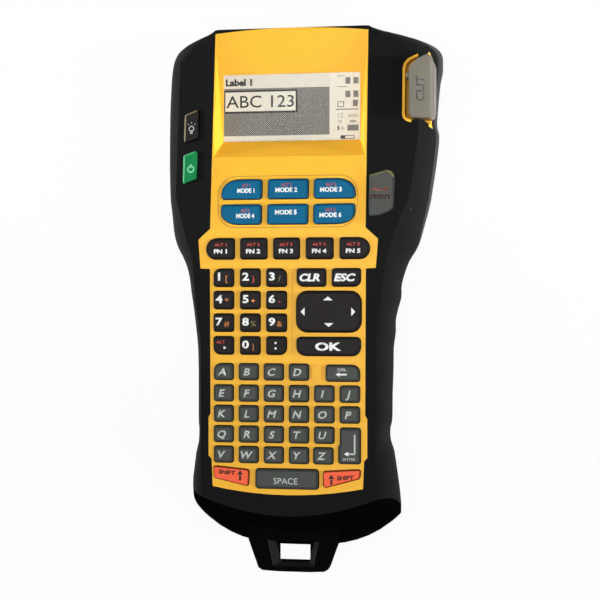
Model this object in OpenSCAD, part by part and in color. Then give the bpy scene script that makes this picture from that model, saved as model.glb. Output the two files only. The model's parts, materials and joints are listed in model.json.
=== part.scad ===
// Hand-held industrial label maker, lying on its back.
// Frame: millimetres, +Z out of the keypad, +Y towards the head, origin under the middle of the body.

/* [Case] */
// Height of the keypad surface above the table
deck_h = 56; // [54:1:58]
// Distance that the display end of the fascia drops below the keypad
head_drop = 12; // [10:1:13]
// Wall thickness of the shells
wall = 2.6; // [2.2:0.1:2.8]
// Height of the joint between the back case and the pieces in front of it
parting_h = 28; // [26:1:29]
// Height of the flat back above the table
back_h = 1.2; // [1:0.1:1.6]

/* [Fascia] */
// Half width of the yellow fascia
fascia_half = 37.4; // [37:0.1:37.8]
// Height of the display floor
display_h = 44; // [43.5:0.5:44.5]
// Width of the display window
window_w = 67.5; // [66:0.5:68]
// Length of the display window
window_l = 32.8; // [31:0.1:33]

/* [Keys] */
// Height of a key top above the fascia
key_rise = 1.8; // [1.4:0.1:2]
// Gap around a key in its hole
key_gap = 0.3; // [0.25:0.05:0.4]
// Distance that a key travels when it is pressed
key_travel = 1; // [0.8:0.1:1]
// Pitch of the letter keys across the keypad
letter_pitch = 12.2; // [12:0.1:12.2]
// Size of a letter key
letter_key = [9.4, 7.8];
// Size of a number key
number_key = [9.7, 8.5];

/* [Drive] */
// Module of the gears
gear_module = 0.8; // [0.7:0.05:0.8]
// Teeth on the motor gear
motor_teeth = 12; // [12:1:13]
// Teeth on the idler gear
idler_teeth = 22; // [22:2:22]
// Teeth on the platen gear
platen_teeth = 16; // [15:1:16]
// Width of the tape that the cassette holds
tape_w = 19; // [12:1:19]

/* [Battery bay] */
// Diameter of a cell
cell_d = 14.5; // [14:0.1:14.5]
// Length of a cell
cell_l = 50.5; // [50:0.1:50.5]

/* [Hidden] */

shell_yellow = [0.97, 0.74, 0.2];
rubber_black = [0.13, 0.13, 0.14];
plastic_black = [0.16, 0.16, 0.17];
key_black = [0.15, 0.13, 0.13];
key_grey = [0.34, 0.35, 0.35];
key_blue = [0, 0.4, 0.65];
key_green = [0.08, 0.6, 0.32];
key_orange = [0.97, 0.43, 0.31];
lever_grey = [0.56, 0.56, 0.58];
steel = [0.75, 0.75, 0.77];
board_green = [0.1, 0.42, 0.22];

head_top = 132.5;
loop_end = -133.3;
slope_start = 36;
slope_end = 131;
window_low = 77.4;
window_mid_y = window_low + window_l / 2;
// Where the grips meet the shoulders, and the bumper meets the grips
neck_y = 27;
bumper_start = -72;
bumper_end = -124;

// Half widths of the outline at its widest, as [distance along the body, half width]
right_edge = [
    [-130, 52], [-100, 52], [-92, 51.2], [-82, 49.8], [-73, 48.6], [-70.5, 47], [-62.5, 46.7],
    [-60.5, 48], [-45, 48.1], [-33, 48.6], [-23, 48.6], [-15, 49.9], [-11, 49.4], [-5, 50.6],
    [2, 52.8], [6.5, 52.2], [15, 54.6], [20.4, 56.6], [24, 59.4], [27, 60.8], [29.4, 61.6],
    [48, 66.3], [65, 68.9], [77, 70.4], [82.4, 70.6], [85, 69.2], [96, 70], [107, 71], [112, 72.3],
    [121, 72.3], [124, 70.4], [127, 66], [129.6, 58.3], [131, 48.6], [head_top, 39]
];
left_edge = [
    [-130, 54.4], [-100, 54.4], [-92, 53.2], [-82, 51.5], [-73, 49.8], [-70.5, 48.1], [-62.5, 47],
    [-60.5, 48], [-33, 48], [-25, 48.4], [-17, 49.2], [-8, 50.2], [-2, 51], [3, 52], [11.9, 53.2],
    [15, 54.4], [20.8, 57], [24.6, 59.6], [27, 61], [33, 62.9], [48, 64.9], [64, 65.9], [79, 66.1],
    [95, 66.1], [111, 65.5], [121, 64.4], [125, 63], [127.5, 60], [129.6, 55], [131, 47],
    [head_top, 39]
];
// Width of the band beside the fascia, and how far its outer edge lies below the fascia
right_band = [[-130, 42.5], [-20, 42.5], [0, 45], [20, 47], [30, 50], [50, 58], [80, 62], [118, 62], [head_top, 38]];
left_band = [[-130, 42.5], [-20, 42.5], [0, 45], [20, 47], [30, 50], [50, 56], [118, 56], [head_top, 38]];
band_drop = [[-130, 0.6], [0, 0.8], [30, 2], [50, 3.5], [118, 4], [head_top, 1]];
// Height of the widest line, and of the back
widest_h = [[-130, 22], [-92, 26], [-60, 30], [12, 30], [45, 22], [head_top, 20]];
back_line = [
    [-130, 4], [-118, back_h], [-82, back_h], [-62, 4.2], [14, 4.2], [34, back_h], [125, back_h],
    [head_top, 6]
];
// How far the back corner lies inside the widest line
back_corner = [[-130, 16], [-60, 13], [20, 13], [45, 14], [124, 14], [head_top, 8]];

body_mid_x = (max([for (p = right_edge) p[1]]) - max([for (p = left_edge) p[1]])) / 2;
body_mid_y = (head_top + loop_end) / 2;

key_flange_top = deck_h - wall;
key_flange_h = 1.2;
key_base = 49.2;
post_top_h = 44;
board_top = 45.6;
board_t = 1.6;
mat_top = key_base - key_travel - 0.6;
pivot_ball_h = 50.4;
pad_slack = 0.2;
hole_slack = 0.05;
far = 200;

cassette_floor = 5;
platen_at = [44, 100];
platen_r = 6;
pitch_motor = gear_module * motor_teeth / 2;
pitch_idler = gear_module * idler_teeth / 2;
pitch_platen = gear_module * platen_teeth / 2;
train_l = pitch_motor + 2 * pitch_idler + pitch_platen;
motor_at = [platen_at[0] + 6, platen_at[1] - sqrt(train_l * train_l - 36)];
train_dir = (motor_at - platen_at) / train_l;
idler_at = platen_at + train_dir * (pitch_platen + pitch_idler);
train_angle = atan2(train_dir[1], train_dir[0]);
gear_floor = 30;
gear_t = 3.4;
shaft_r = 1.5;
motor_r = 10;
motor_seat = 9;
spool_at = [-14, 80];
spool_r = 23;
lever_pivot = [62.5, 90];
lever_floor = 35.6;
lever_base = 36.2;
tray_t = 1.2;
tray_half = 26;
tray_roof = 24.6;
tray_wall = 1.4;
cell_pitch = 16;
cell_h = tray_roof - cell_d / 2;
cells_low = -67.5;
cells_gap = 2.5;
cells_high = cells_low + 2 * cell_l + cells_gap;
contact_t = 0.8;
// Screws, as [x, y, height of the joint that they close]
screw_points = [[-40, -54, 44], [40, -54, 44], [-40.5, 4, 44], [40.5, 4, 44], [-54, 116, 32], [57, 44, 42]];
post_r = 4.4;
boss_r = 3.4;
screw_r = 1.5;
screw_head_r = 2.7;
screw_grip = 10;
screw_bite = 5;
door_low = 41;
door_high = 118;
door_left = -43;
door_right = 33;
door_gap = 0.4;
door_t = 2.2;
hinge_h = 2.6;
hinge_pin_r = 1.2;
knuckle_r = 2.2;
foot_points = [[-45, 122.6], [47, 122.6], [-33, -100], [33, -100]];
foot_r = 4.4;
jack_at = [-30, 13];

// The body's own frame has the fascia's centreline at x = 0; this puts it over the origin
module placed() {
    translate([-body_mid_x, -body_mid_y, 0]) children();
}

// Value of a table at a distance, with its corners eased over a few millimetres
function eased(y, table) =
    let (d = min(2.4, max(0, (head_top - y) / 3)))
    (lookup(y - d, table) + lookup(y - d / 2, table) + 2 * lookup(y, table)
        + lookup(y + d / 2, table) + lookup(y + d, table)) / 6;

function deck_z(y) = deck_h - head_drop * max(0, y - slope_start) / (slope_end - slope_start);

function arc(centre, rx, ry, from, to, steps) = [
    for (i = [0:steps])
        let (a = from + (to - from) * i / steps)
        [centre[0] + rx * cos(a), centre[1] + ry * sin(a)]
];

// Outline of a rectangle whose corners have their own radii: right top, left top, left low, right low
function plate_points(size, radii) =
    let (w = size[0] / 2, h = size[1] / 2, n = 5)
    concat(
        arc([w - radii[0][0], h - radii[0][1]], radii[0][0], radii[0][1], 0, 90, n),
        arc([radii[1][0] - w, h - radii[1][1]], radii[1][0], radii[1][1], 90, 180, n),
        arc([radii[2][0] - w, radii[2][1] - h], radii[2][0], radii[2][1], 180, 270, n),
        arc([w - radii[3][0], radii[3][1] - h], radii[3][0], radii[3][1], 270, 360, n)
    );

function even_corners(r) = [[r, r], [r, r], [r, r], [r, r]];

module bar(low, high) {
    translate(low) cube(high - low);
}

module upright(at, r, low, high) {
    translate([at[0], at[1], low]) cylinder(r = r, h = high - low, $fn = 40);
}

// ---- Body form -------------------------------------------------------------

// Half of a cross-section at one station, from the fascia round to the back
function half_section(y, edge, band, inset) =
    let (
        top = deck_z(y) - inset,
        crease_x = eased(y, band) - inset * 0.8,
        crease_z = top - eased(y, band_drop),
        wide_x = eased(y, edge) - inset,
        wide_z = eased(y, widest_h),
        low_x = wide_x - eased(y, back_corner) + inset * 0.5,
        low_z = eased(y, back_line) + inset,
        bend = 5
    )
    concat(
        [[fascia_half - inset * 0.5 - 1, top]],
        [for (i = [0:bend]) let (t = i / bend, s = (t + sin(90 * t)) / 2, c = (1 - t + cos(90 * t)) / 2)
            [crease_x + (wide_x - crease_x) * s, wide_z + (crease_z - wide_z) * c]],
        [for (i = [1:bend]) let (a = 90 * i / bend)
            [low_x + (wide_x - low_x) * cos(a), wide_z + (low_z - wide_z) * sin(a)]]
    );

function section(y, inset) =
    let (
        right = half_section(y, right_edge, right_band, inset),
        left = half_section(y, left_edge, left_band, inset)
    )
    concat(
        [for (p = right) [p[0], y, p[1]]],
        [for (i = [len(left) - 1:-1:0]) [-left[i][0], y, left[i][1]]]
    );

// Closed loft through cross-sections at the given stations
module loft(stations, inset) {
    rings = [for (y = stations) section(y, inset)];
    n = len(rings[0]);
    last = len(rings) - 1;
    points = [for (ring = rings) each ring];
    sides = [
        for (k = [0:last - 1], i = [0:n - 1])
            let (a = k * n + i, b = k * n + (i + 1) % n)
            each [[a, a + n, b + n], [a, b + n, b]]
    ];
    polyhedron(
        points,
        concat(sides, [[for (i = [0:n - 1]) i]], [[for (i = [n - 1:-1:0]) last * n + i]])
    );
}

function stations(low, high, step) =
    let (count = ceil((high - low) / step))
    [for (i = [0:count]) low + (high - low) * i / count];

head_stations = concat(
    [neck_y, 28.6, 30.2, 32, 35, 39, 44, 49, 54, 60, 66, 72, 78, 81, 82.4, 83.8, 85.4, 88, 93, 98, 104],
    [107, 109.5, 112, 114, 117, 119.6, 121.4, 123, 124.6, 126, 127.4, 128.6, 129.6, 130.4, 131],
    [131.6, 132.1, head_top]
);
grip_stations = concat(
    [bumper_start, -69, -66, -62.5, -61, -59.4, -57, -52, -46, -40, -34, -28, -24, -21, -18],
    stations(-15, neck_y, 2.8)
);

// Outline of the lower end: a bowed edge whose corners roll into the sides
module end_plan(low, half, corner, bulge, power) {
    inner = half - corner[0];
    start_y = low + bulge * pow(inner / half, power);
    rise = corner[0] * power * bulge / half * pow(inner / half, power - 1);
    turn = [
        for (i = [1:6])
            let (t = i / 6)
            [half - (1 - t) * (1 - t) * corner[0], start_y + 2 * t * (1 - t) * rise + t * t * corner[1]]
    ];
    polygon(concat(
        [[half, 0], [-half, 0]],
        [for (i = [5:-1:0]) [-turn[i][0], turn[i][1]]],
        [for (i = [0:16]) let (x = inner * (i / 8 - 1)) [x, low + bulge * pow(abs(x) / half, power)]],
        turn
    ));
}

// Solid that gives the lower end its slope: the rim lies further out than the face
module end_slope() {
    hull() {
        translate([0, 0, deck_h]) linear_extrude(1) end_plan(-102.8, 46, [5, 8], 10.5, 2);
        translate([0, 0, 17]) linear_extrude(1) end_plan(-123.3, 54.9, [8, 11], 20.8, 3);
        translate([0, 0, 8]) linear_extrude(1) end_plan(-122.3, 54.9, [8, 11], 20.8, 3);
        translate([0, 0, -1]) linear_extrude(1) end_plan(-116.3, 51.9, [8, 11], 19, 3);
    }
}

module fascia_plan(grow = 0) {
    f = fascia_half + grow;
    bottom = arc([0, 90], 183.2 + grow, 183.2 + grow, 270 - 11.45, 270 + 11.45, 10);
    top = arc([0, -205], 337.5 + grow, 337.5 + grow, 90 - 6.4, 90 + 6.4, 8);
    polygon(concat(
        bottom,
        [[f - 0.5, -76.4], [f + 1, -74.8], [f + 1, -56.3], [f, -54.7], [f + 0.3, 15]],
        [[f + 5, 15.2], [f + 6, 29], [f + 0.2, 34.4]],
        top,
        [[-f - 0.2, 34.4], [-f - 6, 29], [-f - 5, 15.2]],
        [[-f - 0.3, 15], [-f, -54.7], [-f - 1, -56.3], [-f - 1, -74.8], [-f + 0.5, -76.4]]
    ));
}

module fascia_prism(low, high, grow = 0) {
    translate([0, 0, low]) linear_extrude(high - low) fascia_plan(grow);
}

// Slab between two lines below the fascia surface, as wide as the body
module deck_slab(above, below) {
    rotate([90, 0, 90])
        translate([0, 0, -100])
            linear_extrude(200)
                polygon([
                    [-140, deck_h + above], [slope_start, deck_h + above],
                    [slope_end + 9, deck_z(slope_end + 9) + above],
                    [slope_end + 9, deck_z(slope_end + 9) - below],
                    [slope_start, deck_h - below], [-140, deck_h - below]
                ]);
}

module cavity_head() {
    loft([neck_y, 34, 45, 60, 80, 100, 118, 126, 129.6], wall);
}

module cavity_handle() {
    loft([bumper_start, -62.5, -33, -15, 3, 15, neck_y], wall);
}

module cavity_bumper() {
    intersection() {
        loft([-118, -100, -86, bumper_start], wall);
        translate([0, 4.4, -1.5]) end_slope();
    }
}

// ---- Key outlines ----------------------------------------------------------

function column_x(i) = -30.85 + letter_pitch * i;

soft = even_corners(1.2);

// Each key, as [x, y, size, corner radii]
hot_keys = [
    for (row = [0, 1], col = [0:2])
        let (
            x = [-22.4, 0.2, 22.6][col], y = [53.2, 41][row],
            outer = [8.5, row == 0 ? 6.6 : 5.6], inner = [1.6, 1.6],
            top = row == 0 ? outer : inner, low = row == 0 ? inner : outer
        )
        [
            x, y, [col == 1 ? 19.6 : 19.8, 9.5],
            col == 0 ? [inner, top, low, inner] : col == 2 ? [top, inner, inner, low] : soft
        ]
];
function_key_list = [
    [-32.5, 24.6, [13.8, 10], [[1.2, 1.2], [5.5, 5], [4.5, 5], [1.2, 1.2]]],
    [-16.2, 24.6, [13, 10], soft],
    [-0.3, 24.6, [12.6, 10], soft],
    [15.7, 24.6, [13, 10], soft],
    [32.5, 24.6, [14.2, 10], [[5.5, 5], [1.2, 1.2], [1.2, 1.2], [4.5, 5]]]
];
number_columns = [-30.85, -17.9, -5.1];
number_rows = [10.7, -0.05, -10.9, -21.8];
letter_rows = [-34.4, -44.65, -54.5, -64.3, -74.1];
letters_in_row = [4, 6, 6, 5, 5];
clear_place = [11.75, 10.7, [13.9, 8.4], [[1.2, 1.2], [1.2, 1.2], [3.2, 3.2], [1.2, 1.2]]];
escape_place = [28.5, 10.7, [13.6, 8.4], [[1.2, 1.2], [1.2, 1.2], [1.2, 1.2], [3.2, 3.2]]];
pad_place = [20.05, -5.55, [30.7, 19.1], even_corners(5)];
ok_place = [20, -22.1, [30.6, 8.75], [[2, 2], [2, 2], [4.2, 4.2], [4.2, 4.2]]];
backspace_place = [26.8, -34.75, [16.1, 7.7], [[3.6, 3.6], [1.2, 1.2], [1.2, 1.2], [1.2, 1.2]]];
space_place = [0, -85.4, [30.4, 9.4], even_corners(1.6)];
enter_points = [[25.6, -60.7], [25.6, -68.6], [24.8, -69.6], [24.8, -77.6], [35.2, -77.6], [35.2, -60.7]];
shift_left_points = [[-35.9, -79.7], [-35.4, -85.4], [-18.7, -89.2], [-18.4, -81.3]];
shift_right_points = [[17.4, -81.5], [17.6, -89.4], [34.8, -84.6], [35.4, -80.3]];
print_points = [
    [38.9, 39.6], [43.8, 39.8], [48.6, 41.6], [50.3, 42.9], [50.9, 44.8], [50.9, 58.4],
    [50.3, 60.2], [49, 61.4], [47.2, 61.9], [44, 61.1], [38.9, 59.4]
];
backlight_points = [[-52.4, 76.4], [-45, 78.8], [-45, 93.2], [-52.4, 90.8]];
power_points = [[-52.4, 56.2], [-45, 58.6], [-45, 73], [-52.4, 70.6]];

module outline(place, grow = 0) {
    translate([place[0], place[1]])
        offset(delta = grow)
            polygon(plate_points(place[2], place[3]));
}

module softened(points, grow = 0) {
    offset(r = 1.1 + grow, $fn = 24) offset(delta = -1.1) polygon(points);
}

// Number and letter keys; the keys at the corners of the number block have one large corner
function number_place(col, row) =
    let (
        big = [3.2, 3.2], small = [1.2, 1.2], top = row == 0, low = row == 3, left = col == 0,
        right = col == 2
    )
    [
        number_columns[col], number_rows[row], number_key,
        [top && right ? big : small, top && left ? big : small, low && left ? big : small,
            low && right ? big : small]
    ];

function letter_place(row, col) = [
    column_x(col) + (row == 4 && col == 4 ? -0.5 : 0), letter_rows[row], letter_key,
    [[1.2, 1.2], row == 0 && col == 0 ? [3.4, 3.4] : [1.2, 1.2], [1.2, 1.2], [1.2, 1.2]]
];

module number_outlines(col, grow = 0) {
    for (row = [0:3]) outline(number_place(col, row), grow);
}

module letter_outlines(row, grow = 0) {
    for (col = [0:letters_in_row[row] - 1]) outline(letter_place(row, col), grow);
}

module function_outlines(grow = 0) {
    for (place = function_key_list) outline(place, grow);
}

module fascia_key_outlines(grow) {
    for (place = hot_keys) outline(place, grow);
    function_outlines(grow);
    for (col = [0:2]) number_outlines(col, grow);
    for (row = [0:4]) letter_outlines(row, grow);
    for (place = [clear_place, escape_place, ok_place, backspace_place, space_place])
        outline(place, grow);
    outline(pad_place, grow + pad_slack);
    for (points = [enter_points, shift_left_points, shift_right_points]) softened(points, grow);
}

// ---- Keys ------------------------------------------------------------------

// A key through the fascia: its cap stands above the surface and its skirt stops under it
module fascia_key(tint) {
    color(tint) placed() {
        intersection() {
            translate([0, 0, key_base]) linear_extrude(20) children(0);
            deck_slab(key_rise, 30);
        }
        intersection() {
            translate([0, 0, key_base]) linear_extrude(20) children(1);
            deck_slab(-wall, wall + key_flange_h);
        }
    }
}

module place_key(place, tint) {
    fascia_key(tint) {
        outline(place);
        outline(place, 0.6);
    }
}

module cut_key(points, tint) {
    fascia_key(tint) {
        softened(points);
        softened(points, 0.6);
    }
}

// A key through a shoulder follows the shoulder's own surface
module shoulder_key(points, tint, low, high) {
    lines = [low - 6, (low + high) / 2, high + 6];
    color(tint) placed() {
        intersection() {
            translate([0, 0, 40]) linear_extrude(30) softened(points);
            loft(lines, -1.3);
        }
        intersection() {
            translate([0, 0, 40]) linear_extrude(30) softened(points, 0.8);
            loft(lines, wall + 0.35);
        }
    }
}

module hot_key_1() place_key(hot_keys[0], key_blue);
module hot_key_2() place_key(hot_keys[1], key_blue);
module hot_key_3() place_key(hot_keys[2], key_blue);
module hot_key_4() place_key(hot_keys[3], key_blue);
module hot_key_5() place_key(hot_keys[4], key_blue);
module hot_key_6() place_key(hot_keys[5], key_blue);

module function_keys() {
    fascia_key(key_black) {
        function_outlines();
        function_outlines(0.6);
    }
}

module number_keys(col) {
    fascia_key(key_black) {
        number_outlines(col);
        number_outlines(col, 0.6);
    }
}

module letter_keys(row) {
    fascia_key(key_grey) {
        letter_outlines(row);
        letter_outlines(row, 0.6);
    }
}

module number_keys_left() number_keys(0);
module number_keys_middle() number_keys(1);
module number_keys_right() number_keys(2);
module letter_keys_row_1() letter_keys(0);
module letter_keys_row_2() letter_keys(1);
module letter_keys_row_3() letter_keys(2);
module letter_keys_row_4() letter_keys(3);
module letter_keys_row_5() letter_keys(4);
module clear_key() place_key(clear_place, key_black);
module escape_key() place_key(escape_place, key_black);
module ok_key() place_key(ok_place, key_black);
module backspace_key() place_key(backspace_place, key_grey);
module space_key() place_key(space_place, key_grey);
module enter_key() cut_key(enter_points, key_grey);
module shift_key_left() cut_key(shift_left_points, key_orange);
module shift_key_right() cut_key(shift_right_points, key_orange);
module print_key() shoulder_key(print_points, key_grey, 40, 62);
module backlight_key() shoulder_key(backlight_points, key_black, 76, 93);
module power_key() shoulder_key(power_points, key_green, 56, 73);

// The navigation pad rocks on a ball on a post
module navigation_pivot() {
    color(steel) placed() {
        upright([pad_place[0], pad_place[1]], 1.4, mat_top + 0.3, pivot_ball_h);
        translate([pad_place[0], pad_place[1], pivot_ball_h]) sphere(r = 1.8, $fn = 32);
    }
}

module navigation_pad() {
    color(key_black) placed() difference() {
        union() {
            translate([0, 0, 51.2])
                linear_extrude(deck_h + key_rise - 51.2) outline(pad_place);
            translate([0, 0, 51.2]) linear_extrude(1) outline(pad_place, 0.6);
            upright([pad_place[0], pad_place[1]], 4, pivot_ball_h, 51.2);
        }
        translate([pad_place[0], pad_place[1], pivot_ball_h]) sphere(r = 1.85, $fn = 32);
    }
}

// ---- Case ------------------------------------------------------------------

// Recess over the display: its floor is level with the keypad, and its rim follows the slope
module display_recess() {
    half = fascia_half - 0.4;
    low = window_low;
    high = low + window_l;
    hull() {
        translate([0, 0, display_h]) linear_extrude(0.01)
            polygon([
                [-window_w / 2, low], [window_w / 2, low], [window_w / 2, high], [half, 120],
                [half, 134], [-half, 134], [-half, 120], [-window_w / 2, high]
            ]);
        for (rise = [0, 6])
            translate([0, 0, rise])
                intersection() {
                    translate([-half, 69, 30]) cube([2 * half, 62, 40]);
                    deck_slab(0, 0.02);
                }
    }
}

module front_case() {
    color(shell_yellow) placed() difference() {
        union() {
            intersection() {
                fascia_prism(40, 60);
                deck_slab(0, wall);
            }
            intersection() {
                fascia_prism(display_h - wall, 60);
                deck_slab(0, 30);
                translate([-60, 64, 0]) cube([120, 80, 80]);
            }
            difference() {
                intersection() {
                    loft([118, 126, 129.6, 131, head_top], 0);
                    fascia_prism(parting_h, 50);
                    translate([-60, 127, 0]) cube([120, 20, 50]);
                }
                cavity_head();
            }
            translate([14.4, -34.6, deck_h - 1]) linear_extrude(2)
                polygon(plate_points([4.4, 6.4], even_corners(0.8)));
            for (side = [-1, 1], run = [[-74, 14], [36, 64]])
                translate([side * (fascia_half - 0.5) - 0.5, run[0], post_top_h])
                    cube([1, run[1] - run[0], key_flange_top - post_top_h]);
        }
        display_recess();
        bar([2.2, -25.8, deck_h - 0.5], [2.8, 15.3, deck_h + 1]);
        translate([-window_w / 2, window_low, 30]) cube([window_w, window_l, 30]);
        translate([0, 0, 40]) linear_extrude(30) fascia_key_outlines(key_gap);
    }
}

module screw_bosses(points) {
    for (p = points) upright(p, boss_r, p[2], p[2] + 11);
}

// One side of a soft black frame piece: the form beside the fascia, above the parting line
module side_piece(side, points) {
    difference() {
        intersection() {
            union() {
                difference() {
                    children(0);
                    children(1);
                }
                intersection() {
                    children(1);
                    screw_bosses(points);
                }
            }
            translate([side > 0 ? 0 : -far, -far, parting_h]) cube([far, 2 * far, 60]);
        }
        fascia_prism(0, 80);
        for (p = points) upright(p, screw_r + hole_slack, p[2] - 4, p[2] + screw_bite + 0.3);
    }
}

module left_shoulder() {
    color(rubber_black) placed() difference() {
        side_piece(-1, [screw_points[4]]) {
            loft(head_stations, 0);
            cavity_head();
        }
        for (points = [backlight_points, power_points])
            translate([0, 0, 40]) linear_extrude(30) softened(points, key_gap);
    }
}

module right_shoulder() {
    color(rubber_black) placed() difference() {
        side_piece(1, [screw_points[5]]) {
            loft(head_stations, 0);
            cavity_head();
        }
        translate([0, 0, 40]) linear_extrude(30) softened(print_points, key_gap);
        translate([0, 0, lever_floor - tray_t]) linear_extrude(40) lever_pocket(tray_t);
    }
}

module left_grip() {
    color(rubber_black) placed() side_piece(-1, [screw_points[0], screw_points[2]]) {
        loft(grip_stations, 0);
        cavity_handle();
    }
}

module right_grip() {
    color(rubber_black) placed() side_piece(1, [screw_points[1], screw_points[3]]) {
        loft(grip_stations, 0);
        cavity_handle();
    }
}

loop_low = 30;
loop_high = 38;
loop_hole = [15.3, 9.3];
loop_hole_y = -123.95;

module loop_plate() {
    polygon([
        [-22.3, -106], [22.3, -106], [22.3, -118], [17.4, -131.6], [15.4, -132.9], [8, -133.3],
        [-8, -133.3], [-15.4, -132.9], [-17.4, -131.6], [-22.3, -118]
    ]);
}

module loop_funnel(size) {
    translate([0, loop_hole_y - 0.4]) polygon([
        [-size[0] / 2, size[1] / 2], [size[0] / 2, size[1] / 2],
        [size[0] / 2 - 2.6, -size[1] / 2], [2.6 - size[0] / 2, -size[1] / 2]
    ]);
}

module end_bumper() {
    color(rubber_black) placed() difference() {
        union() {
            difference() {
                intersection() {
                    loft([bumper_end, -116, -108, -100, -96, -92, -87, -82, -78, -75, bumper_start], 0);
                    end_slope();
                }
                cavity_bumper();
            }
            difference() {
                translate([0, 0, loop_low]) linear_extrude(loop_high - loop_low) loop_plate();
                cavity_bumper();
                hull() {
                    translate([0, 0, loop_high]) linear_extrude(0.1) loop_funnel([25.6, 12.6]);
                    translate([0, 0, loop_low + 2.6]) linear_extrude(0.1) loop_funnel([19, 10]);
                }
                translate([-loop_hole[0] / 2, loop_hole_y - loop_hole[1] / 2, 0])
                    cube([loop_hole[0], loop_hole[1], 60]);
            }
        }
        fascia_prism(30, 80);
        for (i = [2, 3]) upright(foot_points[i], foot_r, -1, 2);
    }
}

module posts() {
    for (p = screw_points) upright(p, post_r, 0, p[2]);
}

module screw_holes() {
    for (p = screw_points) {
        upright(p, screw_r + hole_slack, 0, p[2] + 1);
        upright(p, screw_head_r + 0.2, -1, p[2] - screw_grip);
    }
}

module battery_tray() {
    difference() {
        bar([-tray_half - tray_wall, cells_low - contact_t - tray_wall, 5],
            [tray_half + tray_wall, cells_high + contact_t + tray_wall, tray_roof + tray_wall]);
        bar([-tray_half, cells_low - contact_t, 0],
            [tray_half, cells_high + contact_t, tray_roof]);
    }
}

// Lugs and posts that carry the drive, the cassette and the socket
module bay_details() {
    floor_h = back_h + wall - 0.4;
    bar([door_left - 1.6, 60, floor_h + 0.4], [door_left + 1, 104, 28]);
    bar([door_right - 2, 66, floor_h + 0.4], [door_right + 1.2, 88, 28]);
    difference() {
        upright(platen_at, 4, floor_h, 6.2);
        upright(platen_at, shaft_r + hole_slack, floor_h + 0.4, 7);
    }
    upright(motor_at, 6, floor_h, motor_seat);
    upright(idler_at, 3, floor_h, gear_floor - 0.2);
    upright(idler_at, shaft_r, floor_h, gear_floor + gear_t + 0.2);
}

module door_lugs(lengths, y_out) {
    for (run = lengths)
        difference() {
            union() {
                translate([run[0], door_low, hinge_h]) rotate([0, 90, 0])
                    cylinder(r = knuckle_r, h = run[1] - run[0], $fn = 32);
                bar([run[0], min(door_low, y_out), hinge_h - 1.3],
                    [run[1], max(door_low, y_out), hinge_h + 1.1]);
            }
            translate([run[0] - 1, door_low, hinge_h]) rotate([0, 90, 0])
                cylinder(r = hinge_pin_r + (y_out > door_low ? hole_slack : 0), h = 80, $fn = 32);
        }
}

case_lug_runs = [[-38, -34], [-17.7, 7.7], [24, 28]];
door_lug_runs = [[-33.7, -18], [8, 23.7]];

module back_case() {
    color(plastic_black) placed() difference() {
        union() {
            difference() {
                intersection() {
                    union() {
                        loft(head_stations, 0);
                        loft(grip_stations, 0);
                    }
                    translate([-far, -far, -1]) cube([2 * far, 2 * far, parting_h + 1]);
                }
                union() {
                    cavity_head();
                    cavity_handle();
                }
                bar([door_left - door_gap, door_low - 2.8, -2], [door_right + door_gap, door_high + door_gap, 12]);
                bar([-tray_half - 0.6, -67.4, -2], [tray_half + 0.6, 36.2, 8]);
            }
            intersection() {
                posts();
                union() {
                    cavity_head();
                    cavity_handle();
                }
            }
            battery_tray();
            bay_details();
            door_lugs(case_lug_runs, door_low - 3.2);
        }
        screw_holes();
        for (i = [0, 1]) upright(foot_points[i], foot_r, -1, 2);
        bar([36.4, 125, 6], [39.4, 140, 27]);
        translate([jack_at[0], 122, jack_at[1]]) rotate([-90, 0, 0]) cylinder(r = 3.6, h = 20, $fn = 40);
    }
}

module cassette_door() {
    color(plastic_black) placed() {
        difference() {
            bar([door_left, door_low, back_h], [door_right, door_high, back_h + door_t]);
            for (run = case_lug_runs)
                bar([run[0] - 0.3, door_low - 4, 0], [run[1] + 0.3, door_low + 2.6, 6]);
            translate([-200, door_low, hinge_h]) rotate([0, 90, 0])
                cylinder(r = hinge_pin_r + hole_slack, h = 400, $fn = 32);
        }
        door_lugs(door_lug_runs, door_low + 2);
        difference() {
            bar([-13, door_high - 3, back_h + 1], [3, door_high - 1.4, 8]);
            bar([-13.5, door_high - 2, 4], [-3, door_high, 6]);
        }
    }
}

module door_hinge_pin() {
    color(steel) placed()
        translate([case_lug_runs[0][0] + 0.5, door_low, hinge_h]) rotate([0, 90, 0])
            cylinder(r = hinge_pin_r, h = case_lug_runs[2][1] - case_lug_runs[0][0] - 1, $fn = 32);
}

module battery_cover() {
    color(plastic_black) placed() difference() {
        intersection() {
            loft([-72, -62, 14, 27, 34, 38], 0);
            bar([-tray_half, -66.8, 0], [tray_half, 35.6, 12]);
        }
        loft([-72, -62, 14, 27, 34, 38], 2.4);
        for (y = [20:2.2:30]) bar([-9, y, 0], [9, y + 1.1, lookup(y, back_line) + 0.8]);
    }
}

module rubber_feet() {
    color(rubber_black) placed()
        for (p = foot_points) upright(p, foot_r, 0, 2);
}

// ---- Display and keypad electronics ----------------------------------------

module centred_block(mid, size, low, high) {
    translate([mid[0] - size[0] / 2, mid[1] - size[1] / 2, low])
        cube([size[0], size[1], high - low]);
}

module display_lens() {
    color([0.8, 0.85, 0.85]) placed()
        centred_block([0, window_mid_y], [window_w, window_l], display_h - 1.2, display_h - 0.1);
}

module lcd_module() {
    color([0.9, 0.88, 0.8]) placed() {
        centred_block([0, window_mid_y], [72, 39], display_h - 6.6, display_h - wall);
        centred_block([0, window_mid_y], [window_w - 0.6, window_l - 0.6], display_h - wall, display_h - 1.2);
    }
}

module key_board() {
    color(board_green) placed() difference() {
        centred_block([0, -11.2], [2 * fascia_half - 2, 149.4], board_top - board_t, board_top);
        for (x = [-2.4, 20.05]) upright([x, 66], 2, 40, 50);
    }
}

module key_dome(at, r = 2.6) {
    translate([at[0], at[1], mat_top]) cylinder(r1 = r, r2 = r * 0.7, h = 0.4, $fn = 24);
}

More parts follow.
